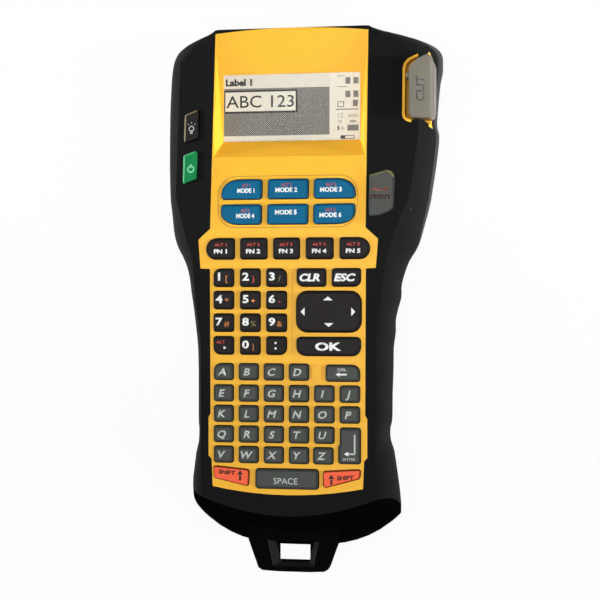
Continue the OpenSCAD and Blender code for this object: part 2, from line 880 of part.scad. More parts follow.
module keypad_mat() {
    color([0.3, 0.3, 0.32]) placed() {
        difference() {
            centred_block([0, -12], [2 * fascia_half - 3, 146], board_top, mat_top);
            upright([pad_place[0], pad_place[1]], 2.4, board_top - 1, mat_top + 1);
        }
        for (place = concat(hot_keys, function_key_list, [clear_place, escape_place, ok_place]))
            key_dome(place);
        for (place = [backspace_place, space_place, [30.2, -69], [-27, -83.6], [26.6, -83.6]])
            key_dome(place);
        for (col = [0:2], row = [0:3]) key_dome(number_place(col, row));
        for (row = [0:4], col = [0:letters_in_row[row] - 1]) key_dome(letter_place(row, col));
        for (a = [0:90:270])
            key_dome([pad_place[0] + 9.5 * cos(a), pad_place[1] + 6 * sin(a)], 2);
    }
}

// ---- Cassette and drive ----------------------------------------------------

cassette_high = cassette_floor + tape_w + 5.6;

module tape_cassette() {
    color([0.2, 0.2, 0.22]) placed() {
        difference() {
            translate([-5.5, 81, cassette_floor])
                linear_extrude(cassette_high - cassette_floor)
                    polygon(plate_points([73, 60], [[2, 2], [6, 6], [6, 6], [2, 2]]));
            upright(spool_at, spool_r + 0.8, cassette_floor - 1, cassette_high - 1.4);
            bar([24, 92, cassette_floor + 1.4], [40, 106, cassette_high - 1.4]);
        }
        upright(spool_at, 3.9, cassette_floor, cassette_high - 1);
    }
}

module tape_spool() {
    color([0.92, 0.92, 0.9]) placed() difference() {
        union() {
            upright(spool_at, spool_r, cassette_floor + 1.6, cassette_floor + 1.6 + tape_w);
            upright(spool_at, 7, cassette_floor + 1, cassette_floor + 2.6 + tape_w);
        }
        upright(spool_at, 3.9 + hole_slack, 0, 40);
        for (a = [0:60:300])
            upright([spool_at[0] + 5.6 * cos(a), spool_at[1] + 5.6 * sin(a)], 0.7, 0, cassette_floor + 3);
    }
}

head_face_x = platen_at[0] - platen_r - 0.1;

module print_head() {
    color([0.62, 0.6, 0.55]) placed() difference() {
        union() {
            bar([head_face_x - 1.4, 92, back_h + wall], [head_face_x, 108, 29]);
            bar([head_face_x - 3.2, 90, back_h + wall], [head_face_x - 1.4, 110, 29]);
            upright([head_face_x - 2, 111], 2.2, back_h + wall, 26);
        }
        for (z = [9:4:25]) bar([head_face_x - 4, 93, z], [head_face_x - 2.4, 107, z + 1.6]);
        upright([head_face_x - 2, 111], 1.1, 5, 30);
    }
}

module platen_roller() {
    color([0.2, 0.2, 0.2]) placed() {
        upright(platen_at, shaft_r, back_h + wall + 0.6, gear_floor + gear_t + 0.6);
        upright(platen_at, platen_r, 7, 7 + tape_w + 2);
        upright(platen_at, 2.6, 6.6, gear_floor);
    }
}

// Spur gear in the plane, with a tooth on the given direction
module gear_outline(teeth, angle) {
    pitch_r = gear_module * teeth / 2;
    root_r = pitch_r - 1.15 * gear_module;
    tip_r = pitch_r + 0.85 * gear_module;
    step = 360 / teeth;
    polygon([
        for (i = [0:teeth - 1], side = [-1, 1], part = [0, 1, 2])
            let (
                k = side < 0 ? part : 2 - part,
                r = [root_r, pitch_r, tip_r][k],
                a = angle + step * (i + side * [0.27, 0.2, 0.1][k])
            )
            [r * cos(a), r * sin(a)]
    ]);
}

module gear(at, teeth, angle, bore_r) {
    translate([at[0], at[1], gear_floor]) difference() {
        linear_extrude(gear_t) gear_outline(teeth, angle);
        translate([0, 0, -1]) cylinder(r = bore_r, h = gear_t + 2, $fn = 40);
    }
}

module platen_gear() {
    color([0.88, 0.86, 0.8]) placed()
        gear(platen_at, platen_teeth, train_angle + 180 / platen_teeth, shaft_r);
}

module idler_gear() {
    color([0.85, 0.83, 0.76]) placed()
        gear(idler_at, idler_teeth, train_angle, shaft_r + hole_slack);
}

module motor_gear() {
    color([0.8, 0.68, 0.35]) placed() {
        gear(motor_at, motor_teeth, train_angle + 180 + 180 / motor_teeth, 0.9);
        upright(motor_at, 1, 22, gear_floor + gear_t);
    }
}

module drive_motor() {
    color(steel) placed() difference() {
        union() {
            upright(motor_at, motor_r, motor_seat, 27);
            upright(motor_at, 3.4, 27, 28.6);
        }
        upright(motor_at, 1 + hole_slack, 21, 30);
        for (side = [-1, 1])
            bar([motor_at[0] + side * 9.4 - 1, motor_at[1] - 20, 0],
                [motor_at[0] + side * 9.4 + 1, motor_at[1] + 20, 30]);
    }
}

// ---- Cutter ----------------------------------------------------------------

module lever_pocket(grow = 0) {
    offset(delta = grow)
        polygon([
            [55.4, 88.8], [55.4, 111.2], [55.9, 113.2], [57.4, 115.1], [60.4, 116.7], [66.5, 119],
            [80, 119], [80, 83.2], [70.4, 83.2], [64, 86.2], [58, 86.2], [56.5, 86.8], [55.7, 87.6]
        ]);
}

module lever_bezel() {
    color(shell_yellow) placed() difference() {
        intersection() {
            translate([0, 0, lever_floor - tray_t])
                linear_extrude(40) lever_pocket(tray_t);
            loft([80, 82.4, 85, 90, 98, 104, 108, 112, 116, 120, 124], -0.5);
        }
        translate([0, 0, lever_floor]) linear_extrude(60) lever_pocket();
        upright(lever_pivot, 2, 20, 60);
    }
}

module lever_pad() {
    offset(r = 1.2, $fn = 24) offset(delta = -1.2)
        polygon([
            [57.8, 88.4], [57.8, 110.8], [61.6, 114.8], [66.2, 117.2], [68, 116.4], [69.8, 112],
            [69.8, 90], [69.2, 87.6], [68, 86.8], [59.4, 86.8]
        ]);
}

module cut_lever() {
    color(lever_grey) placed() difference() {
        intersection() {
            translate([0, 0, lever_base]) linear_extrude(20) lever_pad();
            translate([0, 130, 0]) rotate([90, 0, 0]) linear_extrude(60)
                polygon([
                    [56, 30], [69.6, 30], [70.2, 41], [69.2, 44.8], [67.4, 47.4], [58.4, 51.2],
                    [56, 51]
                ]);
        }
        upright(lever_pivot, 2 + hole_slack, 30, 45);
        translate([56, 108, 41]) rotate([0, 90, 0]) cylinder(r = 2.4, h = 7, $fn = 40);
    }
}

module lever_pivot_pin() {
    color(steel) placed() upright(lever_pivot, 2, lever_floor - tray_t, 44.6);
}

// Helix tube along +X: the coil's centre line, with a ring of points round it
module coil_spring(r, wire, turns, l) {
    steps = 10;
    sides = 6;
    count = turns * steps;
    rings = [
        for (k = [0:count])
            let (a = 360 * k / steps, x = wire + (l - 2 * wire) * k / count)
            [for (i = [0:sides - 1]) let (b = 360 * i / sides, q = r + wire * cos(b))
                [x + wire * sin(b), q * cos(a), q * sin(a)]]
    ];
    faces = [
        for (k = [0:count - 1], i = [0:sides - 1])
            let (a = k * sides + i, b = k * sides + (i + 1) % sides)
            each [[a, b, b + sides], [a, b + sides, a + sides]]
    ];
    polyhedron(
        [for (ring = rings) each ring],
        concat(
            faces, [[for (i = [sides - 1:-1:0]) i]], [[for (i = [0:sides - 1]) count * sides + i]]
        )
    );
}

module lever_spring() {
    color(steel) placed()
        translate([55.5, 108, 41]) coil_spring(1.8, 0.3, 6, 7.2);
}

module cutter_blade() {
    color(steel) placed() {
        translate([0, 0, 7]) linear_extrude(20)
            polygon([[40, 116.4], [42, 116], [52, 116], [52, 116.8], [42, 116.8]]);
        for (low = [6, 25]) bar([49, 113.5, low], [55, 118.5, low + 3]);
    }
}

// ---- Power, fasteners ------------------------------------------------------

module cell(low) {
    translate([0, low, cell_h]) rotate([-90, 0, 0]) {
        cylinder(d = cell_d, h = cell_l - 1.6, $fn = 48);
        cylinder(d = 5.2, h = cell_l, $fn = 32);
    }
}

module batteries() {
    color([0.75, 0.55, 0.25]) placed()
        for (x = [-cell_pitch, 0, cell_pitch], row = [0, 1])
            translate([x, 0, 0]) cell(cells_low + row * (cell_l + cells_gap));
}

module battery_contacts() {
    color(steel) placed()
        for (y = [cells_low - contact_t, cells_low + cell_l, cells_high])
            bar([-tray_half + 1, y, tray_roof - 14],
                [tray_half - 1, y + (y > cells_low && y < cells_high ? cells_gap : contact_t), tray_roof]);
}

module case_screws() {
    color(steel) placed()
        for (p = screw_points) difference() {
            union() {
                upright(p, screw_r, p[2] - screw_grip - 1, p[2] + screw_bite);
                upright(p, screw_head_r, p[2] - screw_grip - 2.6, p[2] - screw_grip);
            }
            translate([0, 0, p[2] - screw_grip - 3]) {
                bar([p[0] - 1.7, p[1] - 0.35, 0], [p[0] + 1.7, p[1] + 0.35, 1.4]);
                bar([p[0] - 0.35, p[1] - 1.7, 0], [p[0] + 0.35, p[1] + 1.7, 1.4]);
            }
        }
}

module power_jack() {
    color(plastic_black) placed() {
        difference() {
            intersection() {
                bar([jack_at[0] - 5.5, 119, 3], [jack_at[0] + 5.5, 130, jack_at[1] + 6]);
                cavity_head();
            }
            translate([jack_at[0], 121, jack_at[1]]) rotate([-90, 0, 0])
                cylinder(r = 2.9, h = 20, $fn = 40);
        }
        translate([jack_at[0], 120, jack_at[1]]) rotate([-90, 0, 0])
            cylinder(r = 1, h = 8, $fn = 32);
    }
}

front_case();
back_case();
left_shoulder();
right_shoulder();
left_grip();
right_grip();
end_bumper();
lever_bezel();
display_lens();
lcd_module();
key_board();
keypad_mat();
cassette_door();
door_hinge_pin();
tape_cassette();
tape_spool();
print_head();
platen_roller();
platen_gear();
drive_motor();
motor_gear();
idler_gear();
cut_lever();
lever_pivot_pin();
lever_spring();
cutter_blade();
battery_cover();
batteries();
battery_contacts();
case_screws();
power_jack();
rubber_feet();
power_key();
backlight_key();
print_key();
hot_key_1();
hot_key_2();
hot_key_3();
hot_key_4();
hot_key_5();
hot_key_6();
function_keys();
number_keys_left();
number_keys_middle();
number_keys_right();
clear_key();
escape_key();
navigation_pivot();
navigation_pad();
ok_key();
letter_keys_row_1();
letter_keys_row_2();
letter_keys_row_3();
letter_keys_row_4();
letter_keys_row_5();
backspace_key();
enter_key();
space_key();
shift_key_left();
shift_key_right();
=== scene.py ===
import json
import math

import bmesh
import bpy
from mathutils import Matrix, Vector

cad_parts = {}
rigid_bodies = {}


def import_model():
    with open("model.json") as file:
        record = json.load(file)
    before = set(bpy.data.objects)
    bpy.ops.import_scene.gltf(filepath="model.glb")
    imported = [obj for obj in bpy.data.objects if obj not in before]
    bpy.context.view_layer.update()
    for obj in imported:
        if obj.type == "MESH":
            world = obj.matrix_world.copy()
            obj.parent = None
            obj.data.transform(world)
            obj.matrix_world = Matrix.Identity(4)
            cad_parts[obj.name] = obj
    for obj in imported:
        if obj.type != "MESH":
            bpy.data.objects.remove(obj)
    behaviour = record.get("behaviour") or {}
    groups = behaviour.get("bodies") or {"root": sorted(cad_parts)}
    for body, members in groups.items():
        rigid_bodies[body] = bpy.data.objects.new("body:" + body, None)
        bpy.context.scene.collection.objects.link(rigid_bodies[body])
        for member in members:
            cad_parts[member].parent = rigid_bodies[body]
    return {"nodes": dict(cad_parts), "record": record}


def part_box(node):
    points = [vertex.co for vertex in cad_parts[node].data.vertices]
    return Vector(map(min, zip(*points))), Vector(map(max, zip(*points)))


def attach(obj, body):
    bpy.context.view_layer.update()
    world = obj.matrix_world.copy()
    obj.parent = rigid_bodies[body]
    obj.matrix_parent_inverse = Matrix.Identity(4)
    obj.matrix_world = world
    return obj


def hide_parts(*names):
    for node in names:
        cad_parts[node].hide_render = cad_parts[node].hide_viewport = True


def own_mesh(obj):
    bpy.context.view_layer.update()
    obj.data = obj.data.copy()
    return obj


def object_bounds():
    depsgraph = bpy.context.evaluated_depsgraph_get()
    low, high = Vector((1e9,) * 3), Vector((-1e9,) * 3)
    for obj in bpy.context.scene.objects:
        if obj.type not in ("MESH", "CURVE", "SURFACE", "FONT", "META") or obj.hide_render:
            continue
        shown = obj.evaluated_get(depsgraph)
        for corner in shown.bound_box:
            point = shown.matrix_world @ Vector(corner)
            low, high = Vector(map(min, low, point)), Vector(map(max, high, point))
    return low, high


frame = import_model()
CAD_LOW, CAD_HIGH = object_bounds()

bl_info = {
    "name": "Label Maker Pieces",
    "version": (1, 0, 0),
    "blender": (4, 5, 0),
    "location": "View3D > Sidebar > Label Maker",
    "description": "Builds the finished pieces of a hand-held label maker round its packed frame",
    "category": "Object",
}

MM = 0.001
CASE = "case"
BODY_OF_NODE = {
    node: body for body, nodes in frame["record"]["behaviour"]["bodies"].items() for node in nodes
}
SLOT_OF_NODE = {part["node"]: part["material_slot"] for part in frame["record"]["subparts"]}


# ---- Places ------------------------------------------------------------------


def low(node):
    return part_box(node)[0]


def high(node):
    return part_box(node)[1]


def middle(node):
    lowest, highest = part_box(node)
    return (Vector(lowest) + Vector(highest)) / 2


# The fascia is even about its own middle, the keys stand KEY_RISE mm over the deck, and the
# space key lies SPACE_ROW mm from the plan's zero
FASCIA_X = middle("front_case").x
KEY_TOP = high("space_key")[2]
KEY_RISE, SPACE_ROW = 1.8, -85.4
DECK = KEY_TOP - KEY_RISE * MM
PLAN_Y = middle("space_key").y - SPACE_ROW * MM


def plan(x, y, z=0.0):
    """A place by its millimetres across and along the fascia, at a height in metres"""
    return (FASCIA_X + x * MM, PLAN_Y + y * MM, z)


# ---- Settings ----------------------------------------------------------------


def length(name, text, default):
    return bpy.props.FloatProperty(
        name=name, description=text, default=default, min=0, unit="LENGTH", precision=5
    )


def tint(name, text, default):
    return bpy.props.FloatVectorProperty(
        name=name, description=text, default=default, min=0, max=1, size=3, subtype="COLOR"
    )


class LabelMakerSizes(bpy.types.PropertyGroup):
    """Sizes of the rounding and trim"""

    case_edge: length("Case edge", "Radius along the edges of the yellow case", 0.45 * MM)
    rubber_edge: length("Rubber edge", "Radius along the seams of the soft frame", 0.7 * MM)
    key_rim: length("Key rim", "Height of the rounding round the top of a key", 0.5 * MM)
    key_rim_width: length("Key rim width", "Width of the rounding round a key's top", 0.68 * MM)
    key_crown: length("Key crown", "Height of the swell of a key's top", 0.16 * MM)
    legend_rise: length("Legend rise", "Height of a printed legend above its key", 0.03 * MM)


class LabelMakerColours(bpy.types.PropertyGroup):
    """Colours of the plastics"""

    yellow: tint("Yellow", "Front case", (0.82, 0.425, 0.026))
    rubber: tint("Rubber", "Soft black frame", (0.0072, 0.0072, 0.0075))
    back: tint("Back", "Black back case and its covers", (0.011, 0.011, 0.0115))
    dark_key: tint("Dark key", "Number and function keys", (0.0085, 0.0064, 0.0066))
    grey_key: tint("Grey key", "Letter keys", (0.056, 0.061, 0.055))
    blue_key: tint("Blue key", "Quick keys", (0.0, 0.1, 0.205))
    green_key: tint("Green key", "Power key", (0.004, 0.165, 0.048))
    orange_key: tint("Orange key", "Shift keys", (0.85, 0.12, 0.05))
    lever: tint("Lever", "Cutter lever", (0.118, 0.108, 0.086))
    display: tint("Display", "Lit ground of the display", (0.80, 0.76, 0.65))


class LabelMakerStage(bpy.types.PropertyGroup):
    """Camera and lights"""

    camera_turn: bpy.props.FloatProperty(
        name="Camera turn", description="Angle of the camera to the right of straight above",
        default=math.radians(9), subtype="ANGLE",
    )
    camera_distance: length("Camera distance", "From the keypad to the camera", 0.65)
    camera_lens: bpy.props.FloatProperty(
        name="Lens", description="Focal length in millimetres", default=81.8, min=20
    )
    lamp_power: bpy.props.FloatProperty(
        name="Lamp power", description="Power of the main soft lamp in watts", default=9.1, min=0
    )


def sizes():
    return bpy.context.scene.label_maker_sizes


def colours():
    return bpy.context.scene.label_maker_colours


# ---- Modelling helpers ---------------------------------------------------------


def deselect():
    bpy.ops.object.select_all(action="DESELECT")


def activate(piece):
    deselect()
    piece.select_set(True)
    bpy.context.view_layer.objects.active = piece


def edit(piece, mode="FACE"):
    activate(piece)
    bpy.ops.object.mode_set(mode="EDIT")
    bpy.ops.mesh.select_mode(type=mode)
    bpy.ops.mesh.select_all(action="DESELECT")


def edit_whole(piece):
    edit(piece, "VERT")
    bpy.ops.mesh.select_all(action="SELECT")


def leave_edit():
    bpy.ops.object.mode_set(mode="OBJECT")


def pick_faces(piece, wanted):
    """Selects the faces that pass a test"""
    mesh = bmesh.from_edit_mesh(piece.data)
    for face in mesh.faces:
        face.select_set(wanted(face))
    mesh.select_flush_mode()
    bmesh.update_edit_mesh(piece.data)


def tint_faces(piece, material, wanted):
    """Gives the faces that pass a test a further material"""
    piece.data.materials.append(material)
    edit(piece)
    pick_faces(piece, wanted)
    piece.active_material_index = len(piece.data.materials) - 1
    bpy.ops.object.material_slot_assign()
    leave_edit()


def solid_copy(node, name, merge=0.002 * MM, flat=0.4):
    """A merged copy of a frame node, ready to be shaped"""
    source = frame["nodes"][node]
    activate(source)
    bpy.ops.object.duplicate()
    piece = bpy.context.active_object
    piece.name = piece.data.name = name
    for key in [key for key in piece.keys() if key.startswith("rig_")]:
        del piece[key]
    piece.parent = None
    piece.data.materials.clear()
    edit_whole(piece)
    bpy.ops.mesh.remove_doubles(threshold=merge)
    bpy.ops.mesh.dissolve_limited(angle_limit=math.radians(flat))
    leave_edit()
    return piece


def shape(piece, kind, **values):
    """Adds a modifier with its settings and applies it"""
    modifier = piece.modifiers.new(kind, kind)
    for key, value in values.items():
        setattr(modifier, key, value)
    activate(piece)
    bpy.ops.object.modifier_apply(modifier=modifier.name)


def soften(piece, radius, steps=2, angle=32, smooth=40):
    """Rounds the edges that are sharper than an angle, and shades the rest smooth"""
    shape(
        piece, "BEVEL", width=radius, segments=steps, limit_method="ANGLE",
        angle_limit=math.radians(angle), use_clamp_overlap=True,
    )
    shade(piece, smooth)


def shade(piece, angle):
    """Shades smooth up to an angle, and keeps the large faces flat"""
    activate(piece)
    bpy.ops.object.shade_smooth_by_angle(angle=math.radians(angle))
    shape(piece, "WEIGHTED_NORMAL", keep_sharp=True)


def settle(piece, body, material, replaced=()):
    """Gives a finished piece its material and body, and hides the nodes that it stands for"""
    piece.data.materials.clear()
    piece.data.materials.append(material)
    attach(piece, body)
    if replaced:
        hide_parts(*replaced)
    return piece


def dress(node, name, material, radius, steps=2, angle=32, smooth=40, flat=0.4):
    """Stands a rounded copy in place of a frame node"""
    piece = solid_copy(node, name, flat=flat)
    soften(piece, radius, steps, angle, smooth)
    return settle(piece, BODY_OF_NODE[node], material, [node])


# ---- Flat marks ------------------------------------------------------------------

# Height of a capital of the built-in typeface, as a share of its size
CAPITAL = 0.682


def flat_scaled(piece, x_scale, y_scale):
    activate(piece)
    piece.scale = (x_scale, y_scale, 1)
    bpy.ops.object.transform_apply(location=False, rotation=False, scale=True)
    return piece


def lettering(words, height, wide=1.0, weight=0.0, slant=0.0):
    """One line of plain words as a flat mesh about its middle, by its height in millimetres"""
    deselect()
    bpy.ops.object.text_add(location=(0, 0, 0))
    line = bpy.context.active_object.data
    line.body, line.offset, line.resolution_u = words, weight, 3
    bpy.ops.object.convert(target="MESH")
    piece = bpy.context.active_object
    for vert in piece.data.vertices:
        vert.co.x += slant * vert.co.y
    across = [vert.co.x for vert in piece.data.vertices]
    edit_whole(piece)
    bpy.ops.transform.translate(value=(-(min(across) + max(across)) / 2, -CAPITAL / 2, 0))
    leave_edit()
    scale = height / CAPITAL * MM
    return flat_scaled(piece, scale * wide, scale)


def flat_bar(width, height):
    """A rectangle, in millimetres"""
    deselect()
    bpy.ops.mesh.primitive_plane_add(size=1)
    return flat_scaled(bpy.context.active_object, width * MM, height * MM)


def flat_point(width, height):
    """A triangle that points up the plan"""
    deselect()
    bpy.ops.mesh.primitive_circle_add(vertices=3, radius=1, fill_type="NGON")
    return flat_scaled(bpy.context.active_object, width / math.sqrt(3) * MM, height / 1.5 * MM)


def flat_ring(size, line):
    """A ring by its size and the width of its line, in millimetres"""
    deselect()
    bpy.ops.mesh.primitive_circle_add(vertices=28, radius=size / 2 * MM, fill_type="NGON")
    piece = bpy.context.active_object
    edit(piece)
    bpy.ops.mesh.select_all(action="SELECT")
    bpy.ops.mesh.inset(thickness=line * MM)
    bpy.ops.mesh.delete(type="FACE")
    leave_edit()
    return piece


def stamp(piece, place, ink, turn=0.0):
    """Puts a flat mark at its place, turned by an angle in degrees, in its ink"""
    activate(piece)
    piece.location = place
    piece.rotation_euler.z = math.radians(turn)
    bpy.ops.object.transform_apply()
    piece.data.materials.append(finish(ink))
    return piece


def join(pieces, name):
    deselect()
    for piece in pieces:
        piece.select_set(True)
    bpy.context.view_layer.objects.active = pieces[0]
    if len(pieces) > 1:
        bpy.ops.object.join()
    pieces[0].name = pieces[0].data.name = name
    return pieces[0]


def thicken(piece, thickness):
    """Gives a flat piece a thickness above its plane"""
    shape(piece, "SOLIDIFY", thickness=thickness, offset=1)


def lay_on(piece, ground, gap):
    """Drops a flat piece straight down on to another, and leaves it just above"""
    shape(
        piece, "SHRINKWRAP", target=ground, wrap_method="PROJECT", use_project_z=True,
        use_positive_direction=False, use_negative_direction=True, offset=gap,
    )


# ---- Shader groups -------------------------------------------------------------


def add(tree, kind, **values):
    """A new node with its settings"""
    node = tree.nodes.new(kind)
    for key, value in values.items():
        setattr(node, key, value)
    return node


def set_or_link(tree, socket, value):
    if isinstance(value, bpy.types.NodeSocket):
        tree.links.new(value, socket)
    else:
        socket.default_value = value


def feed(tree, node, **values):
    """Gives a node's inputs, named with _ for a space, a constant or another node's output"""
    for label, value in values.items():
        set_or_link(tree, node.inputs[label.replace("_", " ")], value)
    return node


def math_node(tree, operation, *values, clamp=False):
    node = add(tree, "ShaderNodeMath", operation=operation, use_clamp=clamp)
    for socket, value in zip(node.inputs, values):
        set_or_link(tree, socket, value)
    return node.outputs[0]


def mix(tree, first, second, factor, blend="MIX"):
    """A colour between two, by a share"""
    node = add(tree, "ShaderNodeMix", data_type="RGBA", blend_type=blend)
    return feed(tree, node, A=first, B=second, Factor=factor).outputs["Result"]


def noise(tree, detail, **values):
    return feed(tree, add(tree, "ShaderNodeTexNoise"), Detail=detail, **values).outputs["Fac"]


def object_place(tree):
    return add(tree, "ShaderNodeTexCoord").outputs["Object"]


def new_group(name, inputs, outputs):
    """A shader group of plain numbers, with its entry and its end"""
    group = bpy.data.node_groups.new(name, "ShaderNodeTree")
    for label, value in inputs.items():
        socket = group.interface.new_socket(label, in_out="INPUT", socket_type="NodeSocketFloat")
        socket.default_value = value
    for label in outputs:
        group.interface.new_socket(label, in_out="OUTPUT", socket_type="NodeSocketFloat")
    return group, group.nodes.new("NodeGroupInput"), group.nodes.new("NodeGroupOutput")


def grain_group():
    """Fine moulded grain: a height for the bump and a slow blotch over the surface"""
    group, entry, leave = new_group(
        "Moulded Grain", {"Scale": 2500.0, "Blotch Scale": 60.0}, ("Height", "Blotch")
    )
    place = object_place(group)
    fine = {"Vector": place, "Scale": entry.outputs["Scale"]}
    cells = add(group, "ShaderNodeTexVoronoi", feature="SMOOTH_F1")
    feed(group, cells, Smoothness=0.6, **fine)
    height = math_node(group, "ADD", cells.outputs["Distance"], noise(group, 3.0, **fine))
    blotch = noise(group, 4.0, Vector=place, Scale=entry.outputs["Blotch Scale"])
    feed(group, leave, Height=height, Blotch=blotch)
    return group


def wear_group():
    """Mask of the edges that hands rub, broken up so that it isn't even"""
    group, entry, leave = new_group("Edge Wear", {"Radius": 0.0006, "Scale": 300.0}, ("Mask",))
    rounded = add(group, "ShaderNodeBevel", samples=4)
    feed(group, rounded, Radius=entry.outputs["Radius"])
    plain = add(group, "ShaderNodeNewGeometry")
    dot = add(group, "ShaderNodeVectorMath", operation="DOT_PRODUCT")
    set_or_link(group, dot.inputs[0], rounded.outputs["Normal"])
    set_or_link(group, dot.inputs[1], plain.outputs["Normal"])
    bend = math_node(group, "SUBTRACT", 1.0, dot.outputs["Value"])
    edge = math_node(group, "MULTIPLY", bend, 7.0, clamp=True)
    breakup = noise(group, 5.0, Vector=object_place(group), Scale=entry.outputs["Scale"])
    feed(group, leave, Mask=math_node(group, "MULTIPLY", breakup, edge))
    return group


_GROUPS = {}


def place_group(tree, builder, **values):
    """A shared group, made the first time that it is asked for"""
    if builder not in _GROUPS:
        _GROUPS[builder] = builder()
    return feed(tree, add(tree, "ShaderNodeGroup", node_tree=_GROUPS[builder]), **values)


# ---- Materials -----------------------------------------------------------------

# How far the roughness swings to either side over a surface
MOULDED_SWING, METAL_SWING = 0.08, 0.1


def new_material(name):
    material = bpy.data.materials.new(name)
    material.use_nodes = True
    tree = material.node_tree
    return material, tree, tree.nodes["Principled BSDF"]


def scaled(colour, factor=1.0):
    """A colour times a factor, with its alpha"""
    return tuple(min(1.0, part * factor) for part in colour) + (1.0,)


def swung(tree, texture, level, swing):
    """A roughness that a texture moves to either side of a level"""
    spread = math_node(tree, "MULTIPLY", texture, 2 * swing)
    return math_node(tree, "ADD", spread, level - swing)


def bumped(tree, height, strength, depth):
    """A normal from a height, whose depth is in millimetres"""
    bump = add(tree, "ShaderNodeBump")
    return feed(
        tree, bump, Strength=strength, Distance=depth * MM, Height=height
    ).outputs["Normal"]


def moulded(
    name, colour, roughness, grain, depth, blotch, wear, wear_colour=None, specular=0.5
):
    """Moulded plastic or rubber: its colour drifts, its grain catches light, its edges wear"""
    material, tree, shader = new_material(name)
    texture = place_group(tree, grain_group, Scale=grain, Blotch_Scale=45.0).outputs
    mask = place_group(tree, wear_group, Radius=0.5 * MM, Scale=350.0).outputs["Mask"]
    drift = mix(tree, scaled(colour, 1 - blotch), scaled(colour, 1 + blotch), texture["Blotch"])
    rubbed = tuple(wear_colour or (0.7 * part + 0.1 for part in colour)) + (1.0,)
    feed(
        tree, shader,
        Base_Color=mix(tree, drift, rubbed, math_node(tree, "MULTIPLY", mask, wear)),
        Roughness=swung(tree, texture["Blotch"], roughness, MOULDED_SWING),
        Specular_IOR_Level=specular,
        Normal=bumped(tree, texture["Height"], 0.5, depth),
    )
    return material


def printed(name, colour, roughness=0.5):
    """Ink of a printed legend or of a painted highlight, its colour a little uneven"""
    material, tree, shader = new_material(name)
    texture = place_group(tree, grain_group, Scale=1800.0, Blotch_Scale=900.0)
    ink = mix(tree, scaled(colour, 0.86), scaled(colour), texture.outputs["Blotch"])
    feed(tree, shader, Base_Color=ink, Roughness=roughness, Specular_IOR_Level=0.2)
    return material


def metal(name, colour, roughness, brushed=(900.0, 900.0, 60.0)):
    """Bare metal whose tool marks run along one axis"""
    material, tree, shader = new_material(name)
    stretch = add(tree, "ShaderNodeMapping")
    feed(tree, stretch, Scale=brushed, Vector=object_place(tree))
    marks = noise(tree, 4.0, Scale=3.0, Vector=stretch.outputs["Vector"])
    feed(
        tree, shader,
        Base_Color=mix(tree, scaled(colour, 0.8), scaled(colour, 1.1), marks),
        Roughness=swung(tree, marks, roughness, METAL_SWING),
        Metallic=1.0,
        Normal=bumped(tree, marks, 0.3, 0.01),
    )
    return material


def banded(name, first, second, axis, edge, pitch, roughness=0.4):
    """Two colours in even bands along an axis, for a cell's wrapper or a board's tracks"""
    material, tree, shader = new_material(name)
    split = feed(tree, add(tree, "ShaderNodeSeparateXYZ"), Vector=object_place(tree))
    run = math_node(tree, "DIVIDE", split.outputs[axis], pitch * MM)
    mask = math_node(tree, "GREATER_THAN", math_node(tree, "FRACT", run), edge)
    bands = mix(tree, scaled(first), scaled(second), mask)
    texture = place_group(tree, grain_group, Scale=1500.0, Blotch_Scale=120.0)
    blotched = mix(tree, bands, texture.outputs["Blotch"], 0.35, "MULTIPLY")
    feed(tree, shader, Base_Color=blotched, Roughness=roughness)
    return material


def clear_cover(name):
    """Thin clear window: almost nothing of it shows but its gloss"""
    material, tree, shader = new_material(name)
    texture = place_group(tree, grain_group, Scale=900.0, Blotch_Scale=30.0)
    haze = math_node(tree, "MULTIPLY", texture.outputs["Blotch"], 0.05)
    feed(
        tree, shader, Base_Color=(0.3, 0.31, 0.31, 1.0), Coat_Weight=0.3,
        Roughness=math_node(tree, "ADD", haze, 0.04), Alpha=math_node(tree, "ADD", haze, 0.03),
    )
    return material


def halftone(name, dark, pale, pitch):
    """Grey of a display, which is a fine chequer of dark and pale dots"""
    material, tree, shader = new_material(name)
    checks = add(tree, "ShaderNodeTexChecker")
    feed(tree, checks, Scale=1.0 / (pitch * MM), Color1=scaled(dark), Color2=scaled(pale))
    feed(tree, checks, Vector=object_place(tree))
    tone = checks.outputs["Color"]
    feed(tree, shader, Base_Color=tone, Roughness=0.6, Specular_IOR_Level=0.2)
    return material


def rubber(label, tone, roughness, wear, wear_colour, specular):
    """The soft frame's rubber, or a paler tone of it for painted light or a deeper one for painted
    shade
    """
    colour = tuple(part * tone for part in colours().rubber)
    return moulded(label, colour, roughness, 2300.0, 0.03, 0.18, wear, wear_colour, specular)


# How much darker a cap's rim is than its top: painted shade for the gap round the key
RIM_SHADE = 0.3


def cap_finish(name):
    """A key colour's finish: the printed top, or the rim, deeper in tone with painted shade"""
    label, colour, roughness, worn = {
        "key_black": ("Dark Key", colours().dark_key, 0.5, (0.055, 0.048, 0.046)),
        "key_grey": ("Grey Key", colours().grey_key, 0.45, (0.16, 0.165, 0.16)),
        "key_blue": ("Blue Key", colours().blue_key, 0.4, (0.05, 0.24, 0.5)),
        "key_green": ("Green Key", colours().green_key, 0.42, (0.08, 0.42, 0.2)),
        "key_orange": ("Orange Key", colours().orange_key, 0.42, (1.0, 0.3, 0.18)),
    }[name.removesuffix("_rim")]
    if not name.endswith("_rim"):
        return moulded(label, colour, roughness, 3000.0, 0.01, 0.1, 0.25, worn, specular=0.1)
    # Painted shade: the rim's colour is darkened to stand in for the shade of the gap round the key
    rim_shade_colour = tuple(part * RIM_SHADE for part in colour)
    return moulded(label + " Rim", rim_shade_colour, 0.55, 3000.0, 0.01, 0.1, 0.1, colour, specular=0.08)


